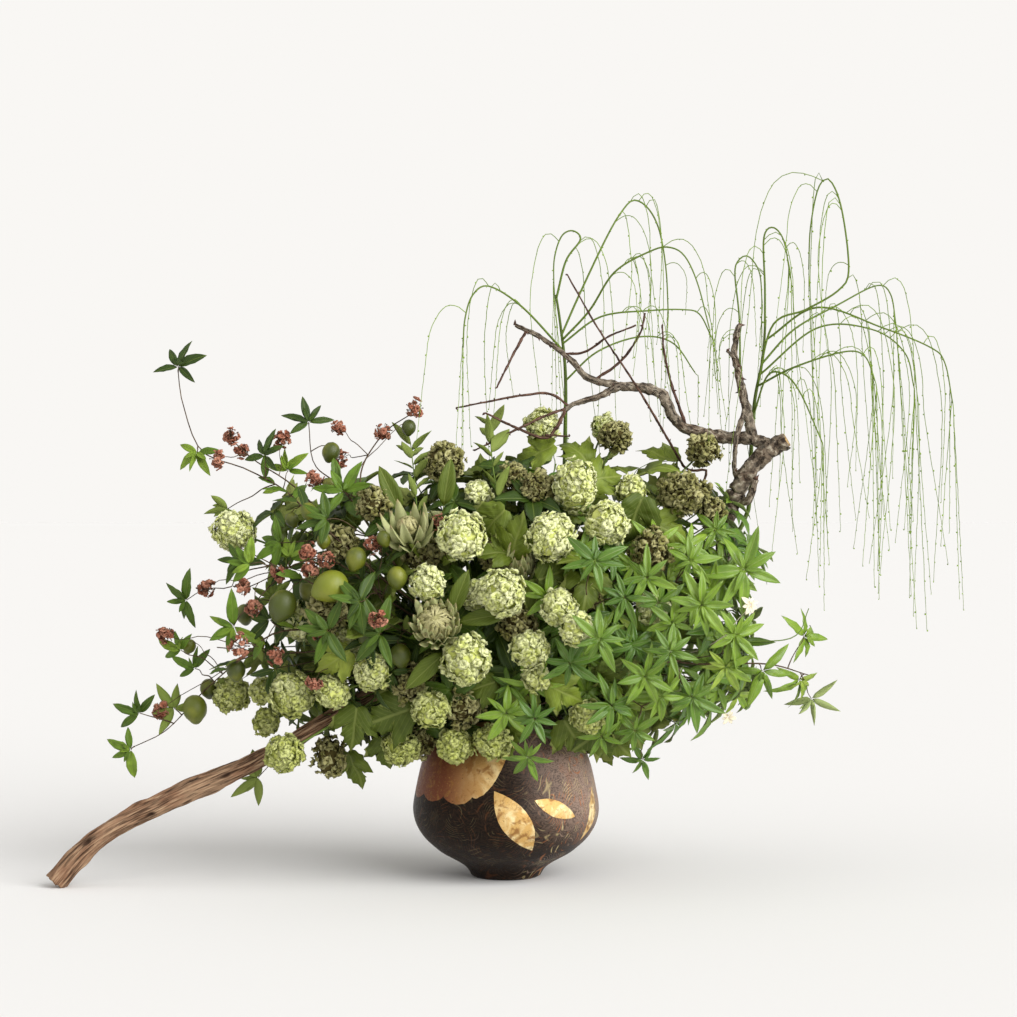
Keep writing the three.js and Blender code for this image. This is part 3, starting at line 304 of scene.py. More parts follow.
class Tube(Stamp):
    """A round limb of one bevelled curve, with its ends closed. Its map runs along it, in metres, and
    once round it."""

    def __init__(self, points, radii, ring=0):
        curve = bpy.data.curves.new("tube", "CURVE")
        curve.dimensions = "3D"
        curve.bevel_depth = 1
        curve.bevel_resolution = ring
        curve.use_fill_caps = True
        spline = curve.splines.new("POLY")
        spline.points.add(len(points) - 1)
        for at, place, radius in zip(spline.points, points, spread(radii, len(points))):
            at.co = (*place, 1)
            at.radius = radius
        holder = bpy.data.objects.new("tube", curve)
        mesh = bpy.data.meshes.new_from_object(holder)
        bpy.data.objects.remove(holder)
        bpy.data.curves.remove(curve)
        mesh.uv_layers[0].name = "leaf"
        bm = bmesh.new()
        bm.from_mesh(mesh)
        bmesh.ops.remove_doubles(bm, verts=bm.verts, dist=0.001)
        for face in bm.faces:
            face.smooth = True
        self.take(mesh, bm)
        self.length = length_of(points)
        mesh.uv_layers["leaf"].data.foreach_set("uv", (self.flat * (self.length * MM, 1)).ravel())


# %% [markdown]
# A sheet gathers the stamps of one piece in one mesh. Each of them gets a tint and its own cell of the
# map named OFBake, because unwrapping thousands of leaves is slow.

# %% Sheets
CELL_MARGIN = 0.06


class Sheet:
    """Gathers stamps in one mesh."""

    def __init__(self, name):
        self.name = name
        self.bm = bmesh.new()
        self.flats = []
        self.tints = []

    def set_down(self, stamp, matrix=None, curl=0.0, sway=0.0, twist=0.0, tint=None):
        if matrix:
            placed = posed(stamp.rest, matrix, curl, sway, twist)
            stamp.mesh.vertices.foreach_set("co", placed.ravel())
        self.bm.from_mesh(stamp.mesh)
        self.flats.append(stamp.flat)
        self.tints.append((random.random() if tint is None else tint, len(stamp.rest)))

    def sweep(self, points, radii, ring=0, tint=None):
        tube = Tube(points, radii, ring)
        self.set_down(tube, tint=tint)
        bpy.data.meshes.remove(tube.mesh)

    def finish(self, finish, slot, *nodes):
        """Makes the piece, in metres, gives it its finish, and lets it stand for CAD nodes."""
        mesh = bpy.data.meshes.new(self.name)
        self.bm.to_mesh(mesh)
        self.bm.free()
        mesh.transform(Matrix.Scale(MM, 4))
        tint = mesh.attributes.new("tint", "FLOAT", "POINT")
        tint.data.foreach_set("value", np.concatenate([np.full(n, v) for v, n in self.tints]))
        side = math.ceil(math.sqrt(len(self.flats)))
        cells = []
        for i, flat in enumerate(self.flats):
            share = np.clip(flat * (0.5, 1), 0, 1) * (1 - 2 * CELL_MARGIN) + CELL_MARGIN
            cells.append((share + (i % side, i // side)) / side)
        bake = mesh.uv_layers.new(name="OFBake")
        bake.data.foreach_set("uv", np.concatenate(cells).ravel())
        piece(self.name, mesh, finish, slot, *nodes)


def piece(name, mesh, finish, slot, *nodes):
    made = bpy.data.objects.new(name, mesh)
    bpy.context.collection.objects.link(made)
    made.data.materials.append(finish.material)
    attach(made, "root")
    if nodes:
        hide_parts(*nodes)
    print(f"{name}: {len(mesh.polygons)} faces")


# %% Places and directions
SMOOTH_STEPS = 8
UP = Vector((0, 0, 1))


def basis(x, y, z, at):
    """The pose of a stamp whose axes are x, y and z, at a place."""
    return Matrix.Translation(at) @ Matrix((x, y, z)).transposed().to_4x4()


def leaf_pose(root, along, normal, length, width):
    """Where a leaf of that length and width goes: from its root, along a direction, face up a normal."""
    y = along.normalized()
    x = y.cross(normal).normalized()
    return basis(x * width, y * length, x.cross(y) * length, root)


def facing(normal, roll=0):
    """Three directions with the last along a normal, turned about it by a roll."""
    z = normal.normalized()
    x = z.cross(UP if abs(z.z) < 0.9 else Vector((0, 1, 0))).normalized()
    x.rotate(Matrix.Rotation(roll, 3, z))
    return x, z.cross(x), z


def faced(normal, roll, size, at):
    """The pose of a stamp of that size that faces along a normal."""
    return basis(*(axis * size for axis in facing(normal, roll)), at)


def smooth(points, count):
    """Evenly spaced points on a smooth curve through the points."""
    knots = [points[0] * 2 - points[1], *points, points[-1] * 2 - points[-2]]
    fine = []
    for a, b, c, d in zip(knots, knots[1:], knots[2:], knots[3:]):
        for k in range(SMOOTH_STEPS):
            t = k / SMOOTH_STEPS
            fine.append(0.5 * (2 * b + (c - a) * t + (2 * a - 5 * b + 4 * c - d) * t * t
                               + (3 * b - a - 3 * c + d) * t ** 3))
    fine.append(points[-1])
    reach = np.concatenate([[0], np.cumsum([(b - a).length for a, b in zip(fine, fine[1:])])])
    wanted = np.linspace(0, reach[-1], count)
    axes = [np.interp(wanted, reach, [p[k] for p in fine]) for k in range(3)]
    return [Vector(p) for p in zip(*axes)]


def between(low, high):
    return random.uniform(low, high)


def any_way():
    """A direction at random."""
    while True:
        way = Vector((between(-1, 1), between(-1, 1), between(-1, 1)))
        if 0.1 < way.length < 1:
            return way.normalized()


SEED = 20
random.seed(SEED)
print("seed", SEED)

# %% [markdown]
# ## Vase
# The real vase is thrown clay under dark brushed lacquer, with a band of gold leaf on its shoulder. Its
# profile is a short chain of points made smooth, and a full spin turns it into a closed shell.

# %% Vase body
OUTSIDE = [
    (0, 0), (57, 0), (62, 2), (66, 9), (72, 17), (84, 26), (100, 35), (116, 44), (129, 54), (147, 71),
    (160, 91), (166, 110), (167, 128), (163, 153), (154, 195), (144, 225), (131, 250), (118, 268),
    (105, 281), (99, 286), (97, 290),
]
INSIDE = [(92, 290), (90, 284), (96, 274), (109, 258), (144, 190), (157, 122), (136, 73), (70, 34), (0, 30)]
PROFILE_POINTS = 56
VASE_STEPS = 128


def vase_body():
    profile = [
        *smooth([Vector((r, 0, z)) for r, z in OUTSIDE[1:]], PROFILE_POINTS),
        *smooth([Vector((r, 0, z)) for r, z in INSIDE[:-1]], PROFILE_POINTS // 2),
    ]
    profile = [Vector((0, 0, OUTSIDE[0][1])), *profile, Vector((0, 0, INSIDE[-1][1]))]
    bm = bmesh.new()
    chain = [bm.verts.new(place) for place in profile]
    edges = [bm.edges.new(pair) for pair in zip(chain, chain[1:])]
    bmesh.ops.spin(bm, geom=chain + edges, axis=(0, 0, 1), cent=(0, 0, 0), steps=VASE_STEPS,
                   angle=math.tau, use_merge=True)
    bmesh.ops.remove_doubles(bm, verts=bm.verts, dist=0.01)
    bmesh.ops.recalc_face_normals(bm, faces=bm.faces)
    for face in bm.faces:
        face.smooth = True
    mesh = bpy.data.meshes.new("vase_body")
    bm.to_mesh(mesh)
    bm.free()
    mesh.transform(Matrix.Scale(MM, 4))
    return mesh


# %% [markdown]
# The gold is a generic cloud band: its lower edge is a row of scallops that sweeps up to the neck, and a
# few long leaf strokes leave it. The outline is worked out from the angle round the vase and the height,
# in metres. The ground is brushed: fine lines are the level lines of a soft noise, and a finer noise
# breaks them into strokes. The vase is paler on its right and shoulder: partly greyer lacquer, partly a
# painted sheen of the light from the right. Its strokes are painted brighter there, a painted highlight,
# and the gold turns paler towards the right, partly real wear and partly painted light.

# %% Lacquer and gold
GOLD_LEAVES = [
    # angle round from the front in radians, height, half length, half width, slant in radians
    (0.10, 0.118, 0.066, 0.026, -0.95), (0.56, 0.138, 0.046, 0.015, -0.38), (1.16, 0.120, 0.050, 0.015, 1.25),
    (2.6, 0.13, 0.06, 0.018, 0.9), (-2.2, 0.12, 0.06, 0.018, -0.8),
]
BELLY = 0.167
BAND_EDGE = 0.146  # lowest height of the cloud band
BAND_SWEEP = 0.16  # how far its edge climbs at either end
BAND_ENDS = ((-0.45, 0.55), (-1.6, -2.3))  # the angles between which it climbs
SCALLOPS = 8.5  # half waves to a radian
SCALLOP_DEPTH = 0.012
STROKES = [
    # shift of the noise, lines to its whole height, how much of them shows, colour
    (3, 33, 1.0, "a8663a"), (7, 38, 0.8, "c9b583"), (12, 43, 0.9, "8d7767"),
]


def gold_shapes(f, angle, z):
    """Above zero in the gold, and below it outside."""
    ragged = (f.noise(70, 5) - 0.5) * 0.006
    scallop = abs(f.math("SINE", angle * SCALLOPS))
    edge = scallop ** 0.6 * -SCALLOP_DEPTH + (BAND_EDGE + SCALLOP_DEPTH)
    for start, end in BAND_ENDS:
        edge = edge + f.ease(angle, start, end, 0.0, BAND_SWEEP)
    shapes = z + ragged - edge
    for turn, height, long, wide, slant in GOLD_LEAVES:
        across = (angle - turn) * BELLY
        up = z - height
        a = across * math.cos(slant) + up * math.sin(slant)
        b = up * math.cos(slant) - across * math.sin(slant)
        share = a / long
        width = (1.0 - share * share) * wide
        shapes = f.math("MAXIMUM", shapes, width - abs(b) + ragged * 0.4)
    return shapes


def hairs(f, where, shift, bands, share):
    """Fine brushed lines, which swirl round the hills of a noise."""
    drift = f.node("Mapping", {"Vector": where, "Location": (shift, 0, 0)})
    band = f.math("FRACT", f.noise(8, 1, where=drift) * bands)
    line = f.ease(abs(band - 0.5), 0.02, 0.16, 1.0, 0.0)
    return line * f.ease(f.noise(38, 6, where=drift), 0.60 - 0.12 * share, 0.72 - 0.12 * share)


def gilt(f, angle):
    """Red-brown gold on the left of the band and bright gold from the middle on: partly real worn gold,
    partly painted light from the right.
    """
    # The gold turns from red-brown to pale towards the right: partly real wear, partly painted light from the
    # right.
    metal = f.over("74432d", "cfa765", angle, -0.8, 0.05)
    # Pale gold patches show only from the middle on to the right: partly real mottling, partly a painted
    # highlight of the light from the right.
    bright = f.ease(f.noise(34, 4, distortion=0.8), 0.40, 0.62) * f.ease(angle, -0.6, 0.2)
    metal = f.mix(bright, metal, "ecd8a4")
    metal = f.over(metal, "8a5f34", f.noise(60, 7, distortion=0.6), 0.50, 0.66, 0.85)
    return f.over(metal, "a87a45", f.noise(260, 5), 0.55, 0.75, 0.6)


def lacquer():
    f = Finish("brushed_lacquer", 0.5, 0.12)
    place = f.node("TexCoord", {}, "Object")
    x, y, z = (f.node("SeparateXYZ", {0: place}, axis) for axis in (0, 1, 2))
    angle = f.math("ARCTAN2", x, y * -1)
    brush = f.noise(46, 8, (1, 1, 1.6), 6.0)
    # Painted sheen: the lacquer is paler on the right and on the shoulder, fading out towards the foot;
    # partly greyer lacquer, partly a painted sheen of the light from the right.
    right_side = f.ease(angle, 0.0, 1.1) * f.ease(angle, 2.0, 3.0, 1.0, 0.0)
    bloom = (right_side + f.ease(z, 0.16, 0.27, 0.0, 0.2)) * f.ease(z, 0.045, 0.15)
    ground = f.over("0e0804", "291b11", brush, 0.36, 0.66)
    ground = f.mix(bloom * f.ease(brush, 0.34, 0.6, 0.35, 0.9), ground, "a08879")
    # Painted highlight: the brush strokes are brighter on the right, where the light from the right falls on
    # them.
    lit = f.ease(right_side, 0.0, 0.7) * 0.64 + 0.1
    for shift, bands, share, colour in STROKES:
        ground = f.mix(hairs(f, place, shift, bands, share) * lit, ground, colour)
    worn = f.ease(f.noise(220, 6, distortion=1.5), 0.26, 0.38)
    gold = f.ease(gold_shapes(f, angle, z), 0.0, 0.001) * worn
    f.colour(f.mix(gold, ground, gilt(f, angle)))
    f.put("Roughness", f.ease(brush, 0.3, 0.7, 0.34, 0.52))
    f.put("Metallic", gold * 0.25)
    f.bump(brush + gold * 0.5, 0.0006)
    return f


piece("vase_body", vase_body(), lacquer(), "lacquer", "vase")

# %% [markdown]
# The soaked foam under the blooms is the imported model's own block, so it only needs its finish: a dull
# green with fine open cells.


# %% Foam
def soaked_foam():
    f = Finish("soaked_foam", 0.95, 0.2)
    cells = f.noise(900, 2)
    f.colour(f.mix(cells, "22331c", "4d6a3e"))
    f.bump(cells, 0.001)
    return f


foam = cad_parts["foam"]
for holder in foam.material_slots:
    holder.material = soaked_foam().material
print("foam has", len(foam.material_slots), "slot")

# %% [markdown]
# ## Driftwood
# A weathered limb leans from the mouth of the vase down to the table. It is a tube along the packed
# limb's own line. A noise drawn out along the limb cuts its lengthwise grooves, and small swellings with
# a dark eye stand for its knots. The grain of the finish follows the limb's own map in the same way.

# %% Limbs
KNOT_SIZE = 13
KNOT_RISE = 4
KNOT_EYE = 7


def weather(tube, girth, size, stretch, depth, knots=()):
    """Moves a limb's skin in and out by a noise that is drawn out along the limb, and raises knots."""
    spots = {}
    for face in tube.mesh.polygons:
        if len(face.vertices) == 4:
            for loop, vert in zip(face.loop_indices, face.vertices):
                spots[vert] = tube.flat[loop]
    normals = [vert.normal.copy() for vert in tube.mesh.vertices]
    for i, (along, turn) in spots.items():
        reach = along * tube.length
        angle = math.tau * turn
        at = Vector((reach / stretch, girth * math.cos(angle), girth * math.sin(angle)))
        rise = depth * noise.fractal(at / size, 1.0, 2.0, 4)
        for share, round_it in knots:
            aside = ((turn - round_it + 0.5) % 1 - 0.5) * math.tau * girth
            away = math.hypot((reach - share * tube.length) / 2, aside) / KNOT_SIZE
            rise += KNOT_RISE * math.exp(-away * away * 3) - KNOT_EYE * math.exp(-away * away * 20)
        tube.mesh.vertices[i].co += normals[i] * rise
    tube.rest = read(tube.mesh.vertices, "co", 3)


def limb(sheet, points, radii, count, ring, size, stretch, depth, knots=()):
    """A weathered limb, added to a sheet."""
    tube = Tube(smooth(points, count), radii, ring)
    weather(tube, radii[0], size, stretch, depth, knots)
    sheet.set_down(tube)
    bpy.data.meshes.remove(tube.mesh)


def wood(name, tones, girth, stretch, scale, bump, knots=(), length=1.0):
    """Grained wood or bark, from dark to light, with a dark eye in each knot."""
    dark, middle, light = tones
    f = Finish(name, 0.8, 0.25)
    where = f.around(girth, stretch)
    grain = f.noise(scale, 8, where=where, distortion=0.3)
    crack = f.ease(f.noise(scale * 0.6, 5, where=where, distortion=0.2), 0.36, 0.46)
    colour = f.over(dark, middle, grain, 0.34, 0.52)
    colour = f.over(colour, light, grain, 0.5, 0.72)
    colour = f.over(colour, light, f.noise(22, 3), 0.35, 0.75, 0.4)
    colour = f.mix(f.ease(crack, 0.0, 1.0, 0.75, 0.0), colour, dark)
    along, turn = f.flat()
    for share, round_it in knots:
        a = (along - share * length) * 0.5
        b = (turn - round_it) * (math.tau * girth)
        colour = f.mix(f.ease((a * a + b * b) ** 0.5, 0.002, 0.007, 0.95, 0.0), colour, dark)
    f.colour(colour)
    f.put("Roughness", f.ease(grain, 0.3, 0.7, 0.9, 0.7))
    f.bump(grain + crack * 0.8, bump)
    return f


# %% Driftwood
DRIFT_LINE = [
    (-810, -12, -125), (-774, 31, -122), (-738, 63, -120), (-689, 94, -114), (-639, 118, -110),
    (-563, 155, -103), (-506, 179, -98), (-436, 211, -90), (-310, 284, -74), (-215, 340, -58),
    (-125, 384, -40),
]
DRIFT_PEG = [(-62, 215, -16), (-70, 300, -18), (-108, 366, -32), (-150, 374, -42)]
DRIFT_RADII = [20, 17, 16.5, 17, 16, 15, 13.5, 13, 12.5, 12, 11]
KNOT_PLACES = ((0.08, 0.74), (0.23, 0.86), (0.35, 0.64), (0.42, 0.80))  # share along the limb, and round it
KNOTS = [(share + 0.018 * k, (turn + k / 3) % 1) for share, turn in KNOT_PLACES for k in range(3)]

drift = Sheet("driftwood_limb")
drift_points = [seen(*p) for p in DRIFT_LINE]
limb(drift, drift_points, DRIFT_RADII, 240, 20, 9, 14, 5.5, KNOTS)
limb(drift, [Vector((x, y, z)) for x, z, y in DRIFT_PEG], [5, 6, 8, 10], 30, 3, 12, 4, 1.5)
for vert in drift.bm.verts:
    vert.co.z = max(vert.co.z, 0)  # worn flat where it stands on the table
drift_wood = wood("weathered_wood", ("3f2a1c", "84624a", "b59879"), 0.021, 12, 300, 0.003, KNOTS,
                  length_of(drift_points) * MM)
drift.finish(drift_wood, "driftwood", "driftwood")

# %% [markdown]
# ## Old branch and twigs
# A lichen-grey bole with a sawn end, and the knobbly limbs and thin dark twigs that leave it. Each line
# below has its radius at its root and its tip, and the points (x, z, y) that it runs through. Thick lines
# are weathered limbs of bark, thin ones are twigs, and all but the thickest have little spurs.

# %% Old branch
OLD_BRANCH = [
    (15, 17, [(504, 783, 0), (478, 768, 5), (440, 732, 10), (414, 690, 15)]),
    (12, 7.5, [(480, 772, 5), (440, 786, 20), (400, 788, 30), (349, 798, 20), (313, 810, 5),
               (290, 848, -5), (270, 872, -10), (205, 880, -15)]),
    (7, 3.2, [(215, 880, -15), (150, 894, -12), (120, 925, -5), (60, 970, 5), (16, 990, 10)]),
    (10, 4.5, [(446, 778, 15), (436, 827, 22), (425, 872, 25), (418, 908, 22), (411, 945, 20),
               (419, 990, 24)]),
    (4.5, 3, [(414, 930, 20), (398, 944, 10)]),
    (5.5, 3.5, [(430, 838, 22), (414, 784, 2), (411, 735, 8), (416, 704, 14)]),
    (8, 6, [(410, 668, 12), (436, 676, -6), (449, 712, -14)]),
    (6.5, 4, [(205, 880, -15), (164, 861, -22), (120, 848, -26), (106, 836, -26)]),
    (2.6, 1.6, [(112, 845, -26), (80, 866, -34), (25, 863, -46), (-90, 841, -66)]),
    (2.8, 1.6, [(108, 840, -26), (60, 822, -40), (-55, 765, -72)]),
    (3.4, 1.8, [(106, 836, -26), (90, 805, -40), (62, 788, -52), (-38, 832, -86)]),
    (2.2, 1.4, [(70, 792, -50), (115, 790, -60)]),
    (2.8, 1.5, [(36, 979, 8), (10, 932, -14), (-16, 878, -34)]),
    (2.6, 1.4, [(100, 938, 0), (142, 942, -24), (182, 968, -44), (234, 990, -60)]),
    (2.8, 1.6, [(160, 892, -12), (205, 924, -34), (240, 972, -46), (250, 1012, -50)]),
    (3, 1.6, [(325, 806, 8), (296, 890, 34), (284, 948, 42), (281, 990, 44)]),
    (17, 13, [(414, 690, 15), (396, 640, 24), (380, 560, 40), (250, 430, 60), (60, 300, 20), (40, 240, 10)]),
]
LIMB_RADIUS = 4  # lines thicker than this at their root are limbs
SPURLESS = 12  # limbs this thick have no spurs
LIMB_STEP = 7
TWIG_STEP = 5
SPUR_STEP = 26

branch, twigs = Sheet("old_branch_bark"), Sheet("old_branch_twigs")
for thick, thin, line in OLD_BRANCH:
    route = [seen(*p) for p in line]
    reach = length_of(route)
    if thick > LIMB_RADIUS:
        radii = [thick, (thick + thin) / 2, thin]
        limb(branch, route, radii, int(reach / LIMB_STEP) + 3, 4, 10, 1.2, 0.34 * thick)
    else:
        limb(twigs, route, [thick, thin], int(reach / TWIG_STEP) + 3, 1, 6, 1.5, 0.4 * thick)
    for at in smooth(route, int(reach / SPUR_STEP) + 2)[1:]:
        if thick < SPURLESS:
            bud = at + any_way() * (1.2 * thick + 2)
            twigs.sweep([at, (at + bud) / 2, bud], (thin, min(thin, 2) * 1.1, 0.3))
bark = wood("old_bark", ("2a1f18", "6b5b4b", "b3a996"), 0.012, 1.3, 150, 0.005)
branch.finish(bark, "bark", "old_branch")
twig_bark = wood("twig_bark", ("24150f", "4c352a", "7a5d4e"), 0.003, 3, 300, 0.001)
twigs.finish(twig_bark, "bark", "old_branch")

# %% [markdown]
# The bole's upper end is sawn: a disc of pale wood stands a little out of the bark. The long twig is one
# more limb, straight but for its foot in the foam, with spurs along its upper part.

# %% Sawn end and long twig
SAWN_RADIUS = 12
SAWN_DEPTH = 6
SAWN_PROUD = 2.5
LONG_TWIG = [
    (60, 300, 20), (345, 690, 60), (318, 738, 40), (240, 872, -45), (165, 985, -60), (110, 1082, -66),
]
FIRST_SPUR = 10

sawn = Sheet("sawn_end")
face, inside = (seen(*p) for p in OLD_BRANCH[0][2][:2])
outward = (face - inside).normalized()
sawn.sweep([face - outward * SAWN_DEPTH, face + outward * SAWN_PROUD], (SAWN_RADIUS, SAWN_RADIUS + 0.5), 2)
sawn_wood = wood("sawn_wood", ("7d5f3c", "b8955f", "d9bf8f"), 0.012, 1, 200, 0.001)
sawn.finish(sawn_wood, "bark", "old_branch")

twig = Sheet("long_twig_bark")
route = [seen(*p) for p in LONG_TWIG]
limb(twig, route, [3.4, 3, 2.6, 2.2, 1.4], 120, 1, 6, 1.5, 0.9)
for at in smooth(route, 26)[FIRST_SPUR:]:
    side = any_way() * 4
    twig.sweep([at, at + side * 0.6, at + side + UP * 3], (1.6, 1.6, 0.3))
twig.finish(twig_bark, "twig", "long_twig")

# %% [markdown]
# ## Weeping strands
# Two green weeping plants arch over the bunch. Their rods are smooth tapered tubes along the packed
# model's lines. From each rod hang threads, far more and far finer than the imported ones, with a small
# pointed bud every few centimetres. Beside a rod's points stand its threads: how far along the rod each
# one leaves it, and how low it hangs.

# %% Strand tables
CENTRE_STRANDS = {
    "root": [(10, 250, 10), (60, 420, 30), (100, 640, 50), (106, 755, 36)],
    "stem": [(106, 755, 36), (107, 900, 28), (98, 990, 26), (90, 1045, 20)],
    "rods": [
        ([(102, 945, 28), (30, 1022, -10), (-30, 1060, -60), (-60, 1044, -74), (-74, 1000, -82),
          (-77, 950, -86)], [(0.5, 740), (1, 745), (0.97, 760)]),
        ([(91, 1040, 20), (108, 1106, 10), (134, 1144, 10), (120, 1160, 16), (100, 1150, 20),
          (87, 1110, 22), (86, 1060, 22)], [(0.3, 760), (1, 760)]),
        ([(99, 970, 26), (132, 1045, 36), (180, 1146, 44), (208, 1194, 60), (230, 1215, 72),
          (256, 1200, 84), (276, 1160, 90), (288, 1090, 94), (292, 1010, 96)], [(0.45, 900), (0.55, 860),
                                                                               (1, 800)]),
        ([(100, 962, 26), (150, 1016, 0), (196, 1086, -46), (262, 1124, -64), (295, 1130, -72),
          (322, 1114, -80), (345, 1065, -88), (366, 985, -92)], [(0.45, 880), (0.6, 820), (1, 780)]),
        ([(101, 956, 26), (170, 1005, 24), (256, 1016, 20), (318, 1018, 34), (348, 1010, 42),
          (370, 968, 50)], [(0.5, 850), (1, 770)]),
        ([(107, 890, 28), (164, 942, 30), (240, 969, 44), (300, 958, 50), (340, 905, 52)],
         [(0.7, 850), (1, 790)]),
    ],
}
RIGHT_STRANDS = {
    "root": [(30, 250, 10), (240, 400, 60), (420, 620, 70), (440, 745, 60)],
    "stem": [(440, 745, 60), (447, 850, 56), (462, 930, 52), (467, 1000, 50)],
    "rods": [
        ([(442, 800, 58), (424, 856, 66), (420, 1000, 84), (412, 1080, 94), (418, 1106, 98),
          (436, 1114, 102), (456, 1085, 104), (461, 1030, 106)], [(0.5, 880), (1, 800), (0.93, 850)]),
        ([(466, 985, 50), (466, 1060, 44), (464, 1146, 36), (480, 1166, 30), (500, 1142, 24),
          (512, 1075, 20)], [(0.5, 860), (0.9, 700), (1, 620)]),
        ([(452, 880, 54), (480, 990, 20), (540, 1018, 0), (600, 1054, -10), (617, 1092, -12),
          (604, 1200, -14), (582, 1252, -10), (562, 1236, -4), (548, 1165, 2), (545, 1090, 4)],
         [(0.62, 940), (0.75, 700), (1, 520), (0.97, 560)]),
        ([(460, 920, 52), (518, 982, 70), (598, 1027, 84), (666, 1061, 96), (692, 1046, 100),
          (702, 990, 102)], [(0.45, 640), (0.7, 560), (1, 440), (0.98, 500)]),
        ([(470, 965, 44), (560, 1022, 6), (676, 986, -20), (764, 950, -34), (790, 922, -38),
          (804, 850, -42)], [(0.45, 600), (1, 480), (0.98, 500)]),
        ([(456, 900, 54), (560, 985, 40), (660, 982, 30), (718, 940, 24), (734, 880, 20)],
         [(0.7, 560), (0.98, 500), (1, 440)]),
        ([(452, 880, 54), (518, 914, -20), (608, 942, -50), (646, 934, -60), (664, 890, -66)],
         [(0.55, 620), (0.9, 560), (1, 500)]),
        ([(446, 830, 58), (470, 898, 10), (500, 902, -16), (530, 868, -36), (568, 782, -54)],
         [(0.6, 620), (0.97, 560), (1, 480)]),
    ],
}
print(sum(len(plant["rods"]) for plant in (CENTRE_STRANDS, RIGHT_STRANDS)), "rods")

# %% Strands
ROD = 2.1
THREAD = 0.75
BUD_STEP = 30
EXTRA_THREADS = 6
SHORTEST_FALL = 60
TIP_SHARE = 0.85  # a thread this far along its rod hangs from the tip
RIGHT_END = 790  # no thread reaches further to the right


def bud_stamp():
    bm = bmesh.new()
    bmesh.ops.create_uvsphere(bm, u_segments=5, v_segments=4, radius=0.5)
    for vert in bm.verts:
        vert.co = (vert.co.x, vert.co.z + 0.5, vert.co.y)
    return Stamp(bm)


BUD = bud_stamp()


def hang(sheet, start, heading, forward, fall, lean):
    """A thread that leaves its rod along it, or at its tip, and hangs down."""
    if forward:
        forward = min(forward, (RIGHT_END - start.x) / 1.4)
        high = min(15, 0.06 * fall)
        ways = [(0, 0), (0.30 * forward, -0.85 * high), (0.62 * forward, -0.8 * high),
                (0.9 * forward, 0.03 * fall), (1.12 * forward, 0.16 * fall), (1.25 * forward, 0.4 * fall),
                (1.3 * forward + lean, fall)]
    else:
        x, _, z = heading * 12
        ways = [(0, 0), (x, -z), (1.3 * x + 0.05 * lean, 0.1 * fall), (1.3 * x + 0.4 * lean, 0.4 * fall),
                (1.3 * x + lean, fall)]
    line = smooth([start + Vector((x, 0, -z)) for x, z in ways], 38)
    sway = [Vector((between(-1, 1), between(-1, 1), 0)) * 0.5 for _ in line]
    line = [line[0], *(at + off for at, off in zip(line[1:], sway))]
    sheet.sweep(line, (THREAD, 0.4), tint=between(0.4, 0.9))
    for at in smooth(line, int(fall / BUD_STEP) + 2)[1:]:
        turn = between(0, math.tau)
        out = Vector((math.cos(turn), math.sin(turn), -0.9)).normalized()
        size = between(2.2, 4)
        sheet.set_down(BUD, leaf_pose(at, out, UP, size, 0.55 * size), tint=0.9)


def strands(name, node, plant):
    sheet = Sheet(name)
    for part, radii in (("root", (5, 4)), ("stem", (4, ROD))):
        sheet.sweep(smooth([seen(*p) for p in plant[part]], 24), radii, 1, 0.1)
    for line, drops in plant["rods"]:
        points = smooth([seen(*p) for p in line], 60)
        sheet.sweep(points, (ROD, 1.2), 1, 0.3)
        lows = [low for _, low in drops]
        more = [(between(0.3, 1), between(min(lows), max(lows) + 120)) for _ in range(EXTRA_THREADS)]
        for share, low in drops + more:
            i = min(round(share * 59), 58)
            start = points[i]
            heading = points[i + 1] - start
            forward = math.copysign(1, heading.x) if share < TIP_SHARE else 0
            fall = start.z - low
            if fall > SHORTEST_FALL:
                hang(sheet, start, heading.normalized(), forward * between(16, 0.16 * fall + 20), fall,
                     between(-0.09, 0.09) * fall)
        for at in points[4::4]:
            size = between(3, 5)
            out = (any_way() - 0.4 * UP).normalized()
            sheet.set_down(BUD, leaf_pose(at, out, Vector((0, 1, 0.1)), size, 0.5 * size), tint=0.8)
    sheet.finish(strand_green, "strand", node)


def green_strand(name, dark, bright):
    f = Finish(name, 0.55, 0.35)
    f.colour(f.over(f.mix(f.tint(), dark, bright), "567424", f.noise(60, 3), 0.4, 0.7, 0.6))
    f.bump(f.noise(700, 2), 0.0004)
    return f


strand_green = green_strand("strand_green", "435216", "8cac34")
strands("weeping_centre", "strands_centre", CENTRE_STRANDS)
strands("weeping_right", "strands_right", RIGHT_STRANDS)

# %% [markdown]
# ## Snowball blooms
# A snowball head is a crowd of small florets, each of four or five thin ruffled petals, set all round a
# core. One petal is a flattened ball of a few faces. Eight florets are built from it, and each head is
# covered with turned and tilted copies of them. Dried heads have florets of their own.

# %% Florets
PETAL_SIDES = 7
FLORET_KINDS = 8


def petal_into(bm, turn, lift, size, ruffle, cup):
    """Adds one petal to a floret, turned about the floret's axis and lifted towards it."""
    made = bmesh.ops.create_uvsphere(bm, u_segments=PETAL_SIDES, v_segments=2, radius=0.5)["verts"]
    wave = between(0, 6)
    for vert in made:
        x, y, z = vert.co
        rise = 0.05 * z
        if math.hypot(x, y) > 0.1:
            way = math.atan2(y, x)
            frill = 1 + 0.16 * math.sin(4 * way + wave)
            rise += cup * (x * x + y * y) + ruffle * math.sin(3 * way + wave)
            x *= frill
            y *= frill
        vert.co = (x * 1.2, y + 0.44, rise)
    spin = Matrix.Rotation(turn, 4, "Z") @ Matrix.Rotation(lift, 4, "X") @ Matrix.Scale(size, 4)
    bmesh.ops.transform(bm, matrix=spin, verts=made)


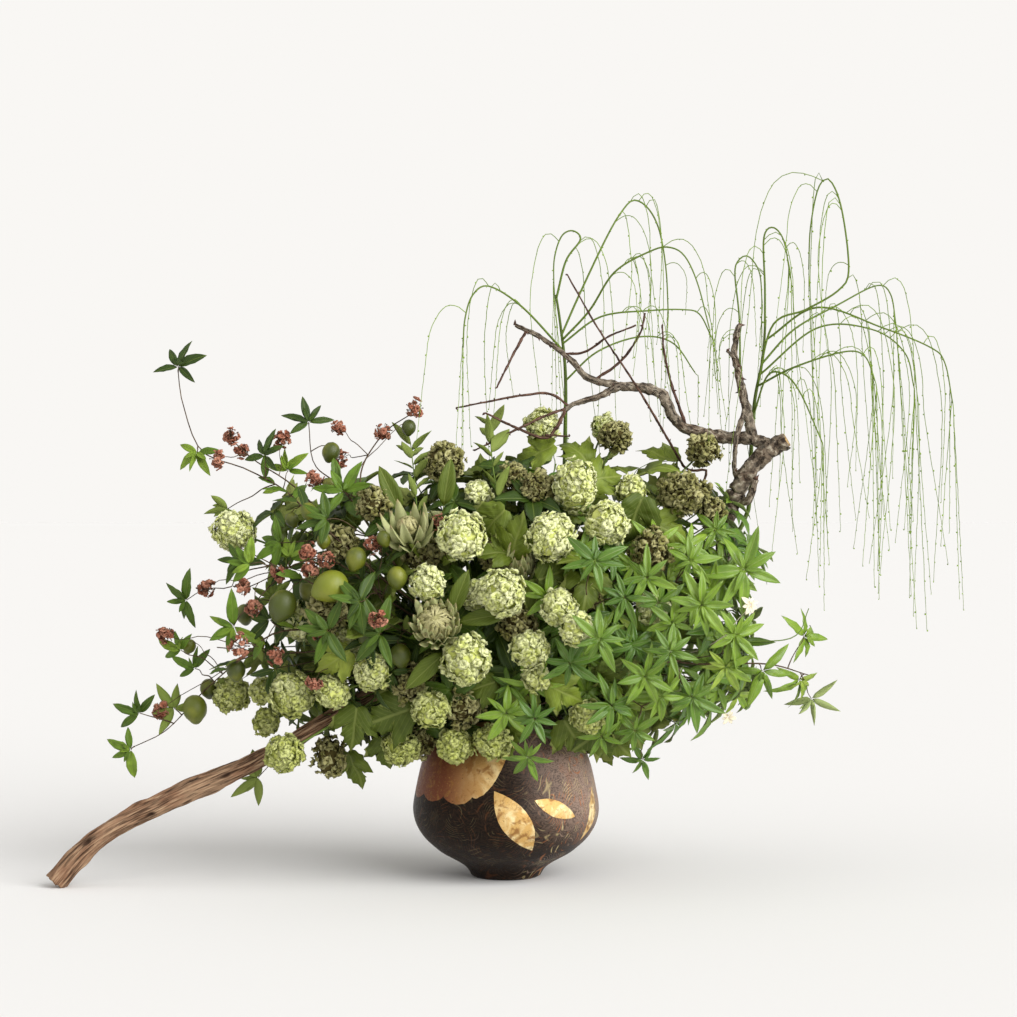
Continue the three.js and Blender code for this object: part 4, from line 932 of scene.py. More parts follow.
def floret_stamp(petals, lift, ruffle, cup):
    """One floret, flat across x and y with its face up z, and a width of about one."""
    bm = bmesh.new()
    for i in range(petals):
        petal_into(bm, math.tau * i / petals + between(-0.2, 0.2), lift + between(-0.25, 0.25),
                   between(0.46, 0.66), ruffle, cup)
    return Stamp(bm)


FLORETS = [floret_stamp(5 if i % 3 else 4, 0.3, 0.14, 0.2) for i in range(FLORET_KINDS)]
DRY_FLORETS = [floret_stamp(4 if i % 2 else 3, 0.6, 0.3, 0.15) for i in range(FLORET_KINDS)]
print("a floret has", len(FLORETS[0].mesh.polygons), "faces")

# %% [markdown]
# The bunch is an egg shape. A place on it is given in the front view, with how far it lies behind the
# egg's near surface, or inside its far one. Each head below is x, z, that depth, its radius, and its
# height to its width.

# %% Where the heads are
SNOWBALLS = [
    [(-490, 620, 0, 36, 0.95), (-368, 458, 78, 34, 1)],
    [(-495, 325, -10, 32, 0.95), (-440, 332, 48, 22, 1), (-385, 325, 0, 38, 1), (-312, 330, 4, 28, 1)],
    [(-430, 276, -20, 22, 1.1), (-400, 220, -150, 32, 0.95)],
    [(-285, 425, 70, 29, 1), (-242, 368, 26, 30, 1.05)],
    [(-80, 610, 0, 40, 1), (-142, 525, 6, 28, 1.05), (-50, 688, 60, 22, 1)],
    [(82, 610, 0, 41, 1), (125, 702, 0, 36, 1.25), (66, 810, -10, 28, 1)],
    [(182, 635, 6, 36, 1.05), (226, 692, 40, 25, 1.1), (176, 806, 46, 21, 1), (264, 480, 50, 25, 1)],
    [(-8, 510, 4, 38, 1), (-54, 506, 52, 25, 1), (95, 482, 6, 28, 1.1), (126, 442, -36, 27, 1.1)],
    [(-72, 388, 0, 42, 1), (-135, 300, 4, 32, 1), (44, 406, 4, 31, 1), (56, 356, 16, 23, 1)],
    [(-190, 230, -6, 30, 1), (-92, 234, -6, 31, 0.9), (-24, 240, -10, 31, 0.9), (146, 285, 4, 27, 1)],
]
SNOWBALLS_BEHIND = [
    [(-330, 520, 10, 36, 1), (-210, 360, 10, 34, 1), (-120, 620, 10, 38, 1)],
    [(90, 560, 0, 40, 1), (250, 620, 10, 34, 1), (200, 380, 10, 36, 1)],
]
DRIED_HEADS = [
    [(-110, 745, 0, 34, 0.85), (-240, 670, 4, 25, 1)],
    [(56, 694, 46, 33, 0.9), (14, 716, 54, 23, 1), (-20, 578, 74, 25, 1)],
    [(200, 790, -14, 28, 0.85), (355, 765, -10, 27, 0.95)],
    [(320, 685, 0, 43, 0.8), (371, 658, 24, 22, 1), (262, 585, 30, 31, 1.05)],
    [(-150, 583, 90, 34, 1), (-296, 598, 48, 26, 1), (-322, 478, 24, 31, 1)],
    [(142, 506, 66, 29, 1), (22, 452, 60, 30, 1), (142, 590, 84, 18, 1)],
    [(-168, 348, 68, 35, 0.95), (-76, 308, 54, 34, 1), (-152, 240, 50, 24, 1), (-318, 212, -66, 25, 1.5)],
]
DRIED_BEHIND = [[(-240, 470, 20, 30, 1), (-30, 500, 0, 34, 1), (180, 500, 20, 30, 1)]]

BUNCH_CENTRE = Vector((-10, 0, 480))
BUNCH_HALF = Vector((560, 270, 300))
REAR_DEPTH = 0.65
GOLDEN_TURN = math.pi * (3 - math.sqrt(5))


def near_surface(x, z):
    """Depth of the egg-shaped bunch's near surface at a place in the front view."""
    across = (x - BUNCH_CENTRE.x) / BUNCH_HALF.x
    up = (z - BUNCH_CENTRE.z) / BUNCH_HALF.z
    return -BUNCH_HALF.y * math.sqrt(max(0, 1 - across * across - up * up))


def on_bunch(x, z, behind):
    return seen(x, z, near_surface(x, z) + behind)


def behind_bunch(x, z, inside):
    return seen(x, z, -REAR_DEPTH * near_surface(x, z) - inside)


print(sum(len(group) for group in SNOWBALLS), "snowballs in front")

# %% Heads
CORE_SHARE = 0.86  # of a head's radius


def core_stamp():
    bm = bmesh.new()
    bmesh.ops.create_icosphere(bm, subdivisions=2, radius=1)
    for vert in bm.verts:
        vert.co *= 1 + 0.3 * noise.noise(vert.co * 2.5)
    return Stamp(bm)


CORE = core_stamp()


def head(sheet, core_sheet, at, radius, tall, kind):
    """One bloom: a rough core, and florets all over it, each facing outwards with a tilt of its own."""
    size = kind["size"]
    count = int(kind["cover"] * radius * radius / (size * size))
    shift = between(0, 10)
    core = CORE_SHARE * radius
    core_sheet.set_down(CORE, Matrix.Translation(at) @ Matrix.Diagonal((core, core, core * tall, 1)))
    for i in range(count):
        up = 1 - 2 * (i + 0.5) / count
        ring = math.sqrt(1 - up * up)
        turn = i * GOLDEN_TURN + shift
        out = Vector((math.cos(turn) * ring, math.sin(turn) * ring, up))
        lump = 1 + kind["lumps"] * noise.noise(out * 1.6 + Vector((shift, 0, 0)))
        place = at + Vector((out.x, out.y, out.z * tall)) * radius * lump * between(0.76, 0.98)
        normal = out + any_way() * kind["tilt"]
        pose = faced(normal, between(0, 6.28), size * between(0.75, 1.25), place)
        sheet.set_down(random.choice(kind["florets"]), pose)


def petal_finish(name, tones, rough=0.75, low=None):
    """Petals: blotched, paler from floret to floret and to their rims, and darkened to another colour low on
    the bunch if given, a painted shade."""
    deep, middle, edge = tones
    f = Finish(name, rough, 0.15)
    across, along = f.flat()
    aside = f.math("FRACT", across) - 0.5
    colour = f.over(deep, middle, f.noise(150, 4), 0.30, 0.55)
    colour = f.over(colour, edge, f.tint(), 0.2, 1.0, 0.7)
    colour = f.over(colour, edge, aside * aside + along * along, 0.04, 0.26, 0.6)
    colour = f.over(colour, edge, f.noise(420, 3), 0.45, 0.75, 0.4)
    # Painted shade: below about half a metre the petals are mixed towards a darker colour.
    if low:
        height = f.node("SeparateXYZ", {0: f.place()}, 2)
        colour = f.mix(f.ease(height, 0.25, 0.50, 0.6, 0.0), colour, low)
    f.colour(colour)
    f.bump(f.noise(600, 3), 0.0008, 0.6)
    return f


# %% Snowballs and dried heads
SNOWBALL = {
    "florets": FLORETS, "size": 18, "cover": 27, "lumps": 0.26, "tilt": 0.4, "slot": "snowball",
    # the petal finish's last colour is the painted shade low on the bunch
    "petal": petal_finish("snowball_petal", ("b9c25c", "dce292", "f4f6c6"), 0.7, "a8b046"),
    "core": petal_finish("snowball_core", ("aab44c", "c2ca64", "d8de84")),
}
DRIED = {
    "florets": DRY_FLORETS, "size": 19, "cover": 25, "lumps": 0.34, "tilt": 0.7, "slot": "dried_hydrangea",
    "petal": petal_finish("dried_petal", ("4a3b1c", "87854a", "c4bf8a"), 0.85),
    "core": petal_finish("dried_core", ("231c0d", "3c3318", "524926"), 0.9),
}


def names(prefix, first, last):
    return [f"{prefix}_{i}" for i in range(first, last + 1)]


BLOOMS = [
    # piece, piece of its cores, groups of heads, how they are placed, kind, the CAD nodes they stand for
    ("snowballs_left", "snowball_cores_left", SNOWBALLS[:5], on_bunch, SNOWBALL, names("snowball", 1, 5)),
    ("snowballs_right", "snowball_cores_right", SNOWBALLS[5:], on_bunch, SNOWBALL, names("snowball", 6, 10)),
    ("snowballs_rear", "snowball_cores_rear", SNOWBALLS_BEHIND, behind_bunch, SNOWBALL,
     names("snowball_rear", 1, 2)),
    ("dried_heads", "dried_cores", DRIED_HEADS, on_bunch, DRIED, names("dried_hydrangea", 1, 7)),
    ("dried_heads_rear", "dried_cores_rear", DRIED_BEHIND, behind_bunch, DRIED,
     names("dried_hydrangea_rear", 1, 1)),
]
for name, core_name, groups, place, kind, nodes in BLOOMS:
    sheet, cores = Sheet(name), Sheet(core_name)
    for group in groups:
        for x, z, behind, radius, tall in group:
            head(sheet, cores, place(x, z, behind), radius, tall, kind)
    sheet.finish(kind["petal"], kind["slot"], *nodes)
    cores.finish(kind["core"], kind["slot"], *nodes)

# %% [markdown]
# ## Leaves
# A leaf starts as a small grid. Its columns are drawn in to the outline, its halves are folded up along
# the midrib, and a thin wall makes it a closed blade. A lobed leaf starts as a fan of triangles round a
# point on its midrib instead. The veins are left to the finish, which reads the leaf's flat map.

# %% Leaf stamps
BLADE = 0.008  # a blade's thickness to its length


def leaf_stamp(outline, fold, ripple, columns=4, rows=7, thick=BLADE):
    bm = bmesh.new()
    bmesh.ops.create_grid(bm, x_segments=columns, y_segments=rows, size=0.5)
    wave = between(0, 6)
    for vert in bm.verts:
        t = vert.co.y + 0.5
        across = vert.co.x * outline(t)
        rise = fold * abs(across) * 0.35 + ripple * math.sin(17 * t + wave) * abs(across)
        vert.co = (across, t, rise)
    bmesh.ops.remove_doubles(bm, verts=bm.verts, dist=0.0005)
    bmesh.ops.solidify(bm, geom=bm.faces[:], thickness=thick)
    return Stamp(bm)


def lance(t):
    return math.sin(math.pi * min(1, t) ** 0.9) ** 0.8 * (1 - 0.25 * t)


def oval(t):
    return math.sin(math.pi * t ** 0.85) ** 0.7


def strap(t):
    return math.sin(math.pi * t ** 0.7) ** 0.9


LANCES = [leaf_stamp(lance, 0.5, 0.04) for _ in range(4)]
OVALS = [leaf_stamp(oval, 0.45, 0.045) for _ in range(4)]
STRAPS = [leaf_stamp(strap, 0.4, 0.05, 2, 6) for _ in range(3)]
print("a lance leaf has", len(LANCES[0].mesh.polygons), "faces")

# %% Lobed leaf stamps
LOBES = [
    # across and along the right half of a leaf with three pointed lobes and a toothed edge
    (0, 0), (0.12, -0.06), (0.28, -0.02), (0.36, 0.08), (0.48, 0.14), (0.50, 0.25), (0.62, 0.34),
    (0.60, 0.44), (0.72, 0.64), (0.54, 0.60), (0.42, 0.62), (0.33, 0.56), (0.31, 0.68), (0.35, 0.79),
    (0.24, 0.82), (0.21, 0.94), (0.11, 1.0), (0, 1.18),
]
LOBED_HEART = (0, 0.36, 0)


def lobed_stamp():
    bm = bmesh.new()
    ring = LOBES + [(-x, y) for x, y in reversed(LOBES[1:-1])]
    bmesh.ops.create_circle(bm, cap_ends=True, cap_tris=True, segments=len(ring), radius=1)
    wave = between(0, 6)
    middle = min(bm.verts, key=lambda v: v.co.length)
    rim = sorted((v for v in bm.verts if v != middle), key=lambda v: math.atan2(v.co.x, v.co.y) % math.tau)
    for vert, (x, y) in zip(rim, ring):
        vert.co = (x * 0.9, y, 0)
    middle.co = LOBED_HEART
    bmesh.ops.subdivide_edges(bm, edges=[e for e in bm.edges if middle in e.verts], cuts=1)
    bmesh.ops.triangulate(bm, faces=bm.faces[:])
    for vert in bm.verts:
        x, y, _ = vert.co
        vert.co.z = 0.16 * abs(x) + 0.05 * math.sin(8 * x + 5 * y + wave) + 0.03 * math.sin(21 * y + wave)
    bmesh.ops.solidify(bm, geom=bm.faces[:], thickness=BLADE)
    return Stamp(bm)


LOBED = [lobed_stamp() for _ in range(4)]
print("a lobed leaf has", len(LOBED[0].mesh.polygons), "faces")

# %% [markdown]
# ## Leafy sprays
# Every spray has a stem out of the mouth of the vase, twigs from it to its whorls, and leaves round the
# hub of each whorl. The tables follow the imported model's. A stem is a line of x, z and depth. A whorl is
# x, z, depth, length and leaves; a lime or a russet cluster has its radius last, and a lobed leaf its
# size and the turn of its tip in degrees.

# %% Spray tables
WHORL_SPRAYS = [
    ([(120, 330, 60), (40, 300, 30)],
     [(0, 292, -14, 62, 5), (8, 340, 28, 56, 5), (52, 282, -50, 56, 5), (40, 214, -88, 52, 5)]),
    ([(130, 400, 70), (150, 500, 60)],
     [(160, 565, -48, 66, 5), (115, 382, -12, 66, 5), (168, 424, -66, 68, 5), (214, 500, 0, 60, 5)]),
    ([(240, 400, 60), (320, 560, 40)],
     [(254, 536, -8, 62, 5), (332, 566, -4, 60, 5), (352, 486, -24, 72, 7), (300, 452, 4, 60, 5),
      (428, 550, -16, 90, 5), (376, 622, 10, 52, 5)]),
    ([(200, 330, 50), (250, 300, 20)],
     [(190, 306, -16, 66, 5), (232, 260, -12, 60, 5), (172, 250, -8, 50, 5), (278, 322, -10, 60, 5),
      (245, 208, -10, 46, 4)]),
    ([(260, 380, 60), (400, 400, 10)],
     [(250, 358, -8, 66, 5), (335, 320, -16, 74, 5), (395, 375, -14, 66, 5), (296, 402, -20, 60, 5),
      (412, 432, -10, 66, 5)]),
    ([(350, 380, 60), (470, 380, 0), (545, 360, -10)],
     [(462, 368, -24, 70, 5), (528, 352, -20, 66, 5), (536, 430, 10, 56, 6), (550, 318, 20, 54, 5)]),
]
WHORLS_BEHIND = [
    ([(-120, 480, 60), (-200, 560, 20)],
     [(-200, 560, 0, 64, 5), (-60, 590, -34, 62, 5), (-90, 440, 6, 66, 5), (-70, 300, -10, 60, 5)]),
    ([(200, 450, 60), (330, 470, 20)],
     [(330, 480, 0, 66, 5), (170, 620, 0, 60, 5), (130, 460, -24, 64, 5), (290, 360, 0, 64, 5),
      (70, 310, -10, 62, 5)]),
]
CITRUS_SPRAYS = [
    ([(-230, 540, 90), (-345, 642, -20), (-400, 694, -10), (-470, 732, 0), (-548, 764, 0), (-582, 850, 0),
      (-590, 905, 0)],
     [(-590, 915, -14, 44, 5), (-555, 760, -6, 46, 5), (-500, 660, 4, 42, 4), (-434, 755, -10, 46, 5),
      (-392, 728, -14, 40, 4)],
     [(-355, 655, -18, 14), (-385, 640, 14, 12)]),
    ([(-200, 560, 90), (-290, 690, 30), (-345, 740, 10), (-355, 812, 0)],
     [(-355, 815, -4, 44, 5), (-292, 690, 0, 50, 5), (-322, 640, -34, 52, 4), (-405, 598, 10, 46, 4)],
     [(-315, 762, -8, 16), (-318, 702, 0, 12), (-175, 806, -8, 13)]),
    ([(-230, 470, 90), (-380, 540, 20), (-480, 590, 0)],
     [(-480, 566, 20, 46, 5), (-575, 495, -8, 44, 5), (-490, 448, -14, 52, 5), (-460, 560, -30, 50, 4),
      (-388, 572, 30, 44, 4)],
     [(-315, 520, -14, 27), (-350, 512, 58, 21), (-402, 486, -4, 24), (-328, 602, 4, 12)]),
    ([(-240, 430, 100), (-400, 440, 20), (-475, 390, 0), (-545, 330, -6), (-610, 262, -6), (-668, 232, -6)],
     [(-585, 405, -14, 40, 4), (-660, 292, -10, 42, 4), (-597, 300, 8, 44, 5), (-675, 226, -6, 40, 4),
      (-560, 372, -20, 38, 4), (-425, 460, 28, 50, 5)],
     [(-560, 300, -16, 22), (-535, 336, 10, 16), (-486, 370, 2, 17), (-570, 412, 0, 12),
      (-446, 420, 30, 12)]),
    ([(-180, 440, 90), (-240, 520, 40)],
     [(-320, 440, -20, 52, 5), (-262, 492, -28, 50, 5), (-226, 434, -4, 56, 5), (-446, 176, 0, 46, 4)],
     [(-196, 536, -10, 17), (-270, 570, -6, 18), (-220, 606, -12, 12), (-250, 436, 40, 17),
      (-190, 396, 30, 18)]),
]
CITRUS_BEHIND = [
    ([(-260, 470, 60), (-420, 500, 20)],
     [(-420, 500, -28, 50, 5), (-440, 400, 10, 50, 5), (-330, 620, 10, 50, 5)],
     [(-380, 470, 10, 20), (-470, 470, 0, 17)]),
]
RUSSET_SPRIGS = [
    ([(-250, 560, 110), (-370, 690, 30), (-450, 745, 10), (-492, 782, 0)],
     [(-495, 790, 0, 15), (-518, 748, -32, 14), (-475, 764, 24, 12), (-402, 782, 6, 15)]),
    ([(-190, 560, 110), (-262, 700, 30), (-225, 790, 10), (-168, 832, 0)],
     [(-165, 840, -14, 15), (-222, 800, -4, 15), (-302, 806, 10, 14), (-344, 712, -24, 16),
      (-296, 750, 30, 12), (-116, 636, 10, 12)]),
    ([(-220, 500, 110), (-330, 570, 40), (-460, 520, 20)],
     [(-356, 584, -24, 15), (-324, 566, -22, 14), (-352, 548, -14, 16), (-410, 545, -10, 13),
      (-474, 518, -8, 15), (-456, 482, -8, 15), (-540, 515, 10, 16), (-240, 594, 14, 15)]),
    ([(-220, 420, 120), (-380, 400, 60), (-520, 410, 20)],
     [(-612, 432, -14, 16), (-480, 415, -44, 18), (-415, 392, -8, 14), (-344, 345, -36, 13),
      (-622, 296, 6, 14), (-230, 460, -40, 15), (-334, 442, 6, 14)]),
]
LOBED_SPRAYS = [
    ([(60, 620, 90), (90, 740, 60)], [(62, 762, 30, 66, 200), (132, 762, 30, 58, 130),
     (172, 716, 24, 60, 20), (286, 755, 44, 60, 160), (-20, 640, 20, 60, 220)]),
    ([(180, 560, 110), (236, 640, 50)], [(236, 652, 16, 70, 250), (284, 626, 44, 60, 330),
     (66, 510, 44, 62, 300), (82, 540, 26, 56, 20)]),
    ([(-180, 360, 110), (-270, 290, 40)], [(-272, 276, 10, 62, 260), (-200, 288, 20, 76, 200),
     (-276, 200, -42, 58, 285), (-220, 226, 10, 54, 275), (-300, 390, 18, 56, 210)]),
    ([(60, 380, 110), (110, 290, 40)], [(118, 256, 14, 66, 300), (30, 330, 44, 56, 240),
     (-40, 340, 40, 52, 200), (100, 330, -2, 56, 330)]),
]
LOBED_BEHIND = [
    ([(-60, 560, 60), (-120, 640, 30)], [(-170, 660, 10, 60, 120), (-30, 640, 10, 66, 60),
     (60, 650, 10, 60, 100), (-260, 540, 10, 60, 180), (20, 320, 10, 60, 270)]),
]
NARROW_SHOOTS = [
    [(-150, 620, 60), (-165, 720, 20), (-172, 780, 10)],
    [(-10, 640, 60), (-24, 740, 20), (-30, 815, 10)],
    [(440, 420, 60), (520, 430, 0), (545, 480, 0)],
]
PALE_FLOWERS = [(440, 486, -10, 15), (400, 285, -4, 13)]
print(sum(len(hubs) for _, hubs in WHORL_SPRAYS), "whorls in the packed sprays")

# %% Growing a spray
FOAM_HOLES = 62  # radius of the ring of the outermost stems
WIDE = 260  # a stem to a point this far out stands on that ring
STEM_FOOT = 245
NECK = 280
MOUTH_TOP = 335
FAN_STEP = 0.95
NEAR_MOUTH = 14  # points of a stem's line that are too low for twigs
LEAFY_FROM, LEAFY_TO = 20, 36  # points of a spray's line that may have single leaves


def outwards(at):
    way = at - BUNCH_CENTRE
    return Vector((way.x * 0.5, way.y * 1.6, way.z)).normalized()


def stem_line(points, count):
    """From the foam out of the vase's mouth, and on through the points of a spray."""
    first = points[0]
    lean = min(1, math.hypot(first.x, first.y) / WIDE)
    foot = Vector((first.x, first.y, 0)).normalized() * FOAM_HOLES * lean * between(0.6, 1.1)
    foot.rotate(Matrix.Rotation(between(-0.5, 0.5), 3, "Z"))
    over = foot * 1.15 + UP * MOUTH_TOP
    middle = over.lerp(first, 0.5) + UP * (0.1 * (first - over).length)
    route = [foot + UP * STEM_FOOT, foot * 1.03 + UP * NECK, over, middle, *points]
    return smooth(route, count)


def whorl(leaves, hub, normal, count, length, slim, stamps, droop, tint=None, fan=None):
    """Leaves all round a hub, or in a fan about the way the twig grows. They share a tint, roughly."""
    x, y, z = facing(normal, between(0, 6.28))
    step, first = math.tau / count, 0
    if fan:
        x = (fan - z * fan.dot(z)).normalized()
        y = z.cross(x)
        step, first = FAN_STEP, -FAN_STEP * (count - 1) / 2
    tint = between(0, 1) if tint is None else tint
    for i in range(count):
        turn = first + step * i + between(-0.22, 0.22)
        along = x * math.cos(turn) + y * math.sin(turn)
        lift = between(-0.1, 0.35)
        long = length * between(0.72, 1.12)
        wide = long * slim * between(0.85, 1.15)
        pose = leaf_pose(hub + along * 1.2, along + z * lift, z - along * lift, long, wide)
        leaves.set_down(random.choice(stamps), pose, curl=between(0.05, droop), sway=between(-0.15, 0.15),
                        twist=between(-0.3, 0.3), tint=min(1, max(0, tint + between(-0.15, 0.15))))


def twig_to(stems, spine, target, radius):
    """A kinked twig that leaves the spine a little below its nearest point and ends at the target."""
    near = min(range(len(spine)), key=lambda i: (spine[i] - target).length)
    far = (spine[near] - target).length
    start = spine[max(0, near - int(far / 26))]
    kinks = [start.lerp(target, t) + Vector((between(-1, 1), between(-1, 1), between(-0.5, 1.5))) * 0.07 * far
             for t in (0.3, 0.55, 0.8)]
    stems.sweep(smooth([start, *kinks, target], 11), (radius, 0.6 * radius))


def spray(stems, leaves, spine, whorls, place, stamps, extra, slim, droop, thick=3.0, along_leaves=0.0,
          fans=None, long=1.0):
    """A stem with a double whorl at each hub. A share of single leaves may stand along it, and a given
    direction makes its whorls fans."""
    line = stem_line([place(*p) for p in spine], 46)
    stems.sweep(line, (thick, 0.9), 1)
    upper = line[NEAR_MOUTH:]
    for x, z, behind, length, count in whorls:
        hub = place(x, z, behind)
        side = math.copysign(1, hub.y)
        normal = outwards(hub) * 0.6 + Vector((between(-0.35, 0.35), 1.1 * side, between(-0.2, 0.3)))
        twig_to(stems, upper, hub, 1.3)
        near = min(upper, key=lambda p: (p - hub).length)
        fan = (hub - near).normalized() + fans if fans else None
        tint = between(0, 1)
        length = length * long
        whorl(leaves, hub, normal, count + extra, length, slim, stamps, droop, tint, fan)
        whorl(leaves, hub + normal.normalized() * 5, normal, 3, length * 0.55, slim, stamps, droop, tint, fan)
    for at, after in zip(line[LEAFY_FROM:LEAFY_TO], line[LEAFY_FROM + 1:]):
        if along_leaves and random.random() < along_leaves:
            way = (after - at).normalized() + any_way() * 0.9
            length = between(34, 56)
            pose = leaf_pose(at, way, Vector((0, -0.6, 1)) + any_way() * 0.4, length, length * slim)
            leaves.set_down(random.choice(stamps), pose, curl=between(0.1, 0.6), twist=between(-0.4, 0.4))
    return upper


# %% [markdown]
# A leaf finish draws the midrib and the side veins on the flat map: the veins are stripes that slant
# away from the midrib. The underside is paler and duller.


# %% Leaf finishes
def leaf_finish(name, dark, bright, young, under, gloss, shine, veins=11.0, vein_share=0.45):
    """A leaf's two faces. Leaves differ from dark to bright, and the last few of them are young."""
    f = Finish(name, gloss, shine)
    across, along = f.flat()
    below = f.math("GREATER_THAN", across, 1.0)
    side = abs(f.math("FRACT", across) - 0.5)
    stripe = abs(f.math("FRACT", along * veins - side * (veins * 1.1)) - 0.5)
    midrib = f.ease(side, 0.012, 0.045, 1.0, 0.0)
    lines = f.math("MAXIMUM", f.ease(stripe, 0.0, 0.16, 1.0, 0.0) * vein_share, midrib)
    colour = f.over(dark, bright, f.tint(), 0.0, 0.85)
    colour = f.over(colour, young, f.tint(), 0.86, 1.0)
    colour = f.over(colour, dark, f.noise(55, 4), 0.4, 0.75, 0.5)
    colour = f.mix(lines * 0.35, colour, under)
    f.colour(f.mix(below * 0.7, colour, under))
    f.put("Roughness", f.ease(below, 0.0, 1.0, gloss, 0.75))
    f.bump(lines * -1.0 + f.noise(350, 3) * 0.5, 0.0006)
    return f


citrus_leaf = leaf_finish("citrus_leaf", "2c420b", "60801e", "83a030", "8a9848", 0.42, 0.35)
whorl_leaf = leaf_finish("whorl_leaf", "4a7112", "86a72b", "9ab23c", "b0bb7c", 0.3, 0.6, 13.0, 0.6)
lobed_leaf = leaf_finish("lobed_leaf", "465516", "74842a", "8c993a", "98a058", 0.5, 0.25, 7.0, 0.45)
green_stem = green_strand("stem_green", "3b4a18", "6c8232")
brown_stem = wood("spray_twig", ("2a1d14", "4f3d2b", "77664a"), 0.003, 3, 300, 0.0008)
print("leaf finishes:", citrus_leaf.material.name, whorl_leaf.material.name, lobed_leaf.material.name)

# %% [markdown]
# ## Whorled foliage
# The sprays on the right carry glossy whorls. The last of them leans out past the bunch, so its leaves
# are straps that hang in fans. More whorls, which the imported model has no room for, close the gaps.

# %% Whorls
WHORL_SHARE = 0.86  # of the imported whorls' reach, as some leaves are longer than others
MORE_WHORLS = 36
INNER_PART = slice(12, 26)  # the points of a stem's line from which a twig to its own end may leave


def inner_twig(stems, hub, radius):
    """A twig to a hub from a stem's line that isn't built itself, as it is deep in the bunch."""
    twig_to(stems, stem_line([hub], 30)[INNER_PART], hub, radius)


stems, leaves = Sheet("whorl_stems"), Sheet("whorl_leaves")
for spine, hubs in WHORL_SPRAYS[:-1]:
    spray(stems, leaves, spine, hubs, on_bunch, LANCES, 2, 0.3, 0.7, long=WHORL_SHARE)
spine, hubs = WHORL_SPRAYS[-1]
spray(stems, leaves, spine, hubs, on_bunch, STRAPS, 0, 0.24, 1.4, fans=Vector((0.5, 0, -0.8)))
for _ in range(MORE_WHORLS):
    hub = on_bunch(between(20, 420), between(300, 600), between(15, 70))
    inner_twig(stems, hub, 1.2)
    normal = outwards(hub) + Vector((between(-0.6, 0.6), -0.6, between(-0.5, 0.5)))
    whorl(leaves, hub, normal, 7, between(44, 60), 0.29, LANCES, 0.9)
rear_stems, rear_leaves = Sheet("whorl_rear_stems"), Sheet("whorl_rear_leaves")
for spine, hubs in WHORLS_BEHIND:
    spray(rear_stems, rear_leaves, spine, hubs, behind_bunch, LANCES, 2, 0.33, 0.8)
for stem_sheet, leaf_sheet, nodes in ((stems, leaves, names("whorl_spray", 1, 6)),
                                      (rear_stems, rear_leaves, names("whorl_rear", 1, 2))):
    stem_sheet.finish(brown_stem, "whorl_leaf", *nodes)
    leaf_sheet.finish(whorl_leaf, "whorl_leaf", *nodes)

# %% [markdown]
# ## Citrus branches
# These have small whorls, single leaves along their stems, and limes with a nub at the tip. The largest
# lime is ripe and lies on its side.

# %% Citrus branches, with limes
MORE_CITRUS = 22
BRIGHT_LIME = 26  # the radius from which a lime is ripe and yellowish
LIME_SHOULDER = 0.8  # how far down the lime its nub begins
CITRUS_FANS = Vector((-0.3, 0, 0.5))


def lime_stamp():
    bm = bmesh.new()
    bmesh.ops.create_uvsphere(bm, u_segments=20, v_segments=14, radius=1)
    for vert in bm.verts:
        if vert.co.z < -LIME_SHOULDER:
            vert.co.z = -LIME_SHOULDER + (vert.co.z + LIME_SHOULDER) * 1.9
        vert.co *= 1 + 0.02 * noise.noise(vert.co * 3)
        vert.co.z *= 1.12
    return Stamp(bm)


def lime_finish():
    f = Finish("lime_peel", 0.38, 0.5)
    colour = f.over("414b12", "727b1c", f.tint(), 0, 1)
    f.colour(f.over(colour, "888a24", f.noise(30, 3), 0.42, 0.72, 0.6))
    f.bump(f.noise(700, 2), 0.0006)
    return f


LIME = lime_stamp()
stems, leaves, limes = Sheet("citrus_stems"), Sheet("citrus_leaves"), Sheet("limes")
for sprays, place in ((CITRUS_SPRAYS, on_bunch), (CITRUS_BEHIND, behind_bunch)):
    for spine, hubs, fruit in sprays:
        line = spray(stems, leaves, spine, hubs, place, LANCES + OVALS[:1], 0, 0.35, 0.6, 2.6, 0.5,
                     CITRUS_FANS, 1.18)
        for x, z, behind, radius in fruit:
            at = place(x, z, behind)
            ripe = radius > BRIGHT_LIME
            tint = 1 if ripe else between(0, 0.55)
            way = Vector((2.4 * ripe + between(-0.5, 0.5), between(-0.4, 0.4), 1))
            limes.set_down(LIME, faced(way, 0, radius, at), tint=tint)
            twig_to(stems, line, at + way.normalized() * radius, 1.1)
for _ in range(MORE_CITRUS):
    hub = on_bunch(between(-430, -110), between(290, 640), between(25, 120))
    inner_twig(stems, hub, 1.1)
    normal = outwards(hub) + any_way() * 0.7
    whorl(leaves, hub, normal, 5, between(42, 56), 0.35, LANCES, 0.8, between(0, 0.5))
citrus_nodes = names("citrus_branch", 1, 6)
stems.finish(brown_stem, "citrus_leaf", *citrus_nodes)
leaves.finish(citrus_leaf, "citrus_leaf", *citrus_nodes)
limes.finish(lime_finish(), "citrus_leaf", *citrus_nodes)

# %% [markdown]
# ## Smaller plants
# Russet clusters are small round crowds of the snowballs' florets, with knobbed stalks between them.
# Lobed leaves stand singly on their twigs. Narrow shoots have leaves all round their upper part, apart
# from the stretch that reaches out on the right.

# %% Russet clusters
RUSSET_FLORETS = 18
RUSSET_STALKS = 18


def stretched(way, tall):
    return Vector((way.x, way.y, tall * way.z))


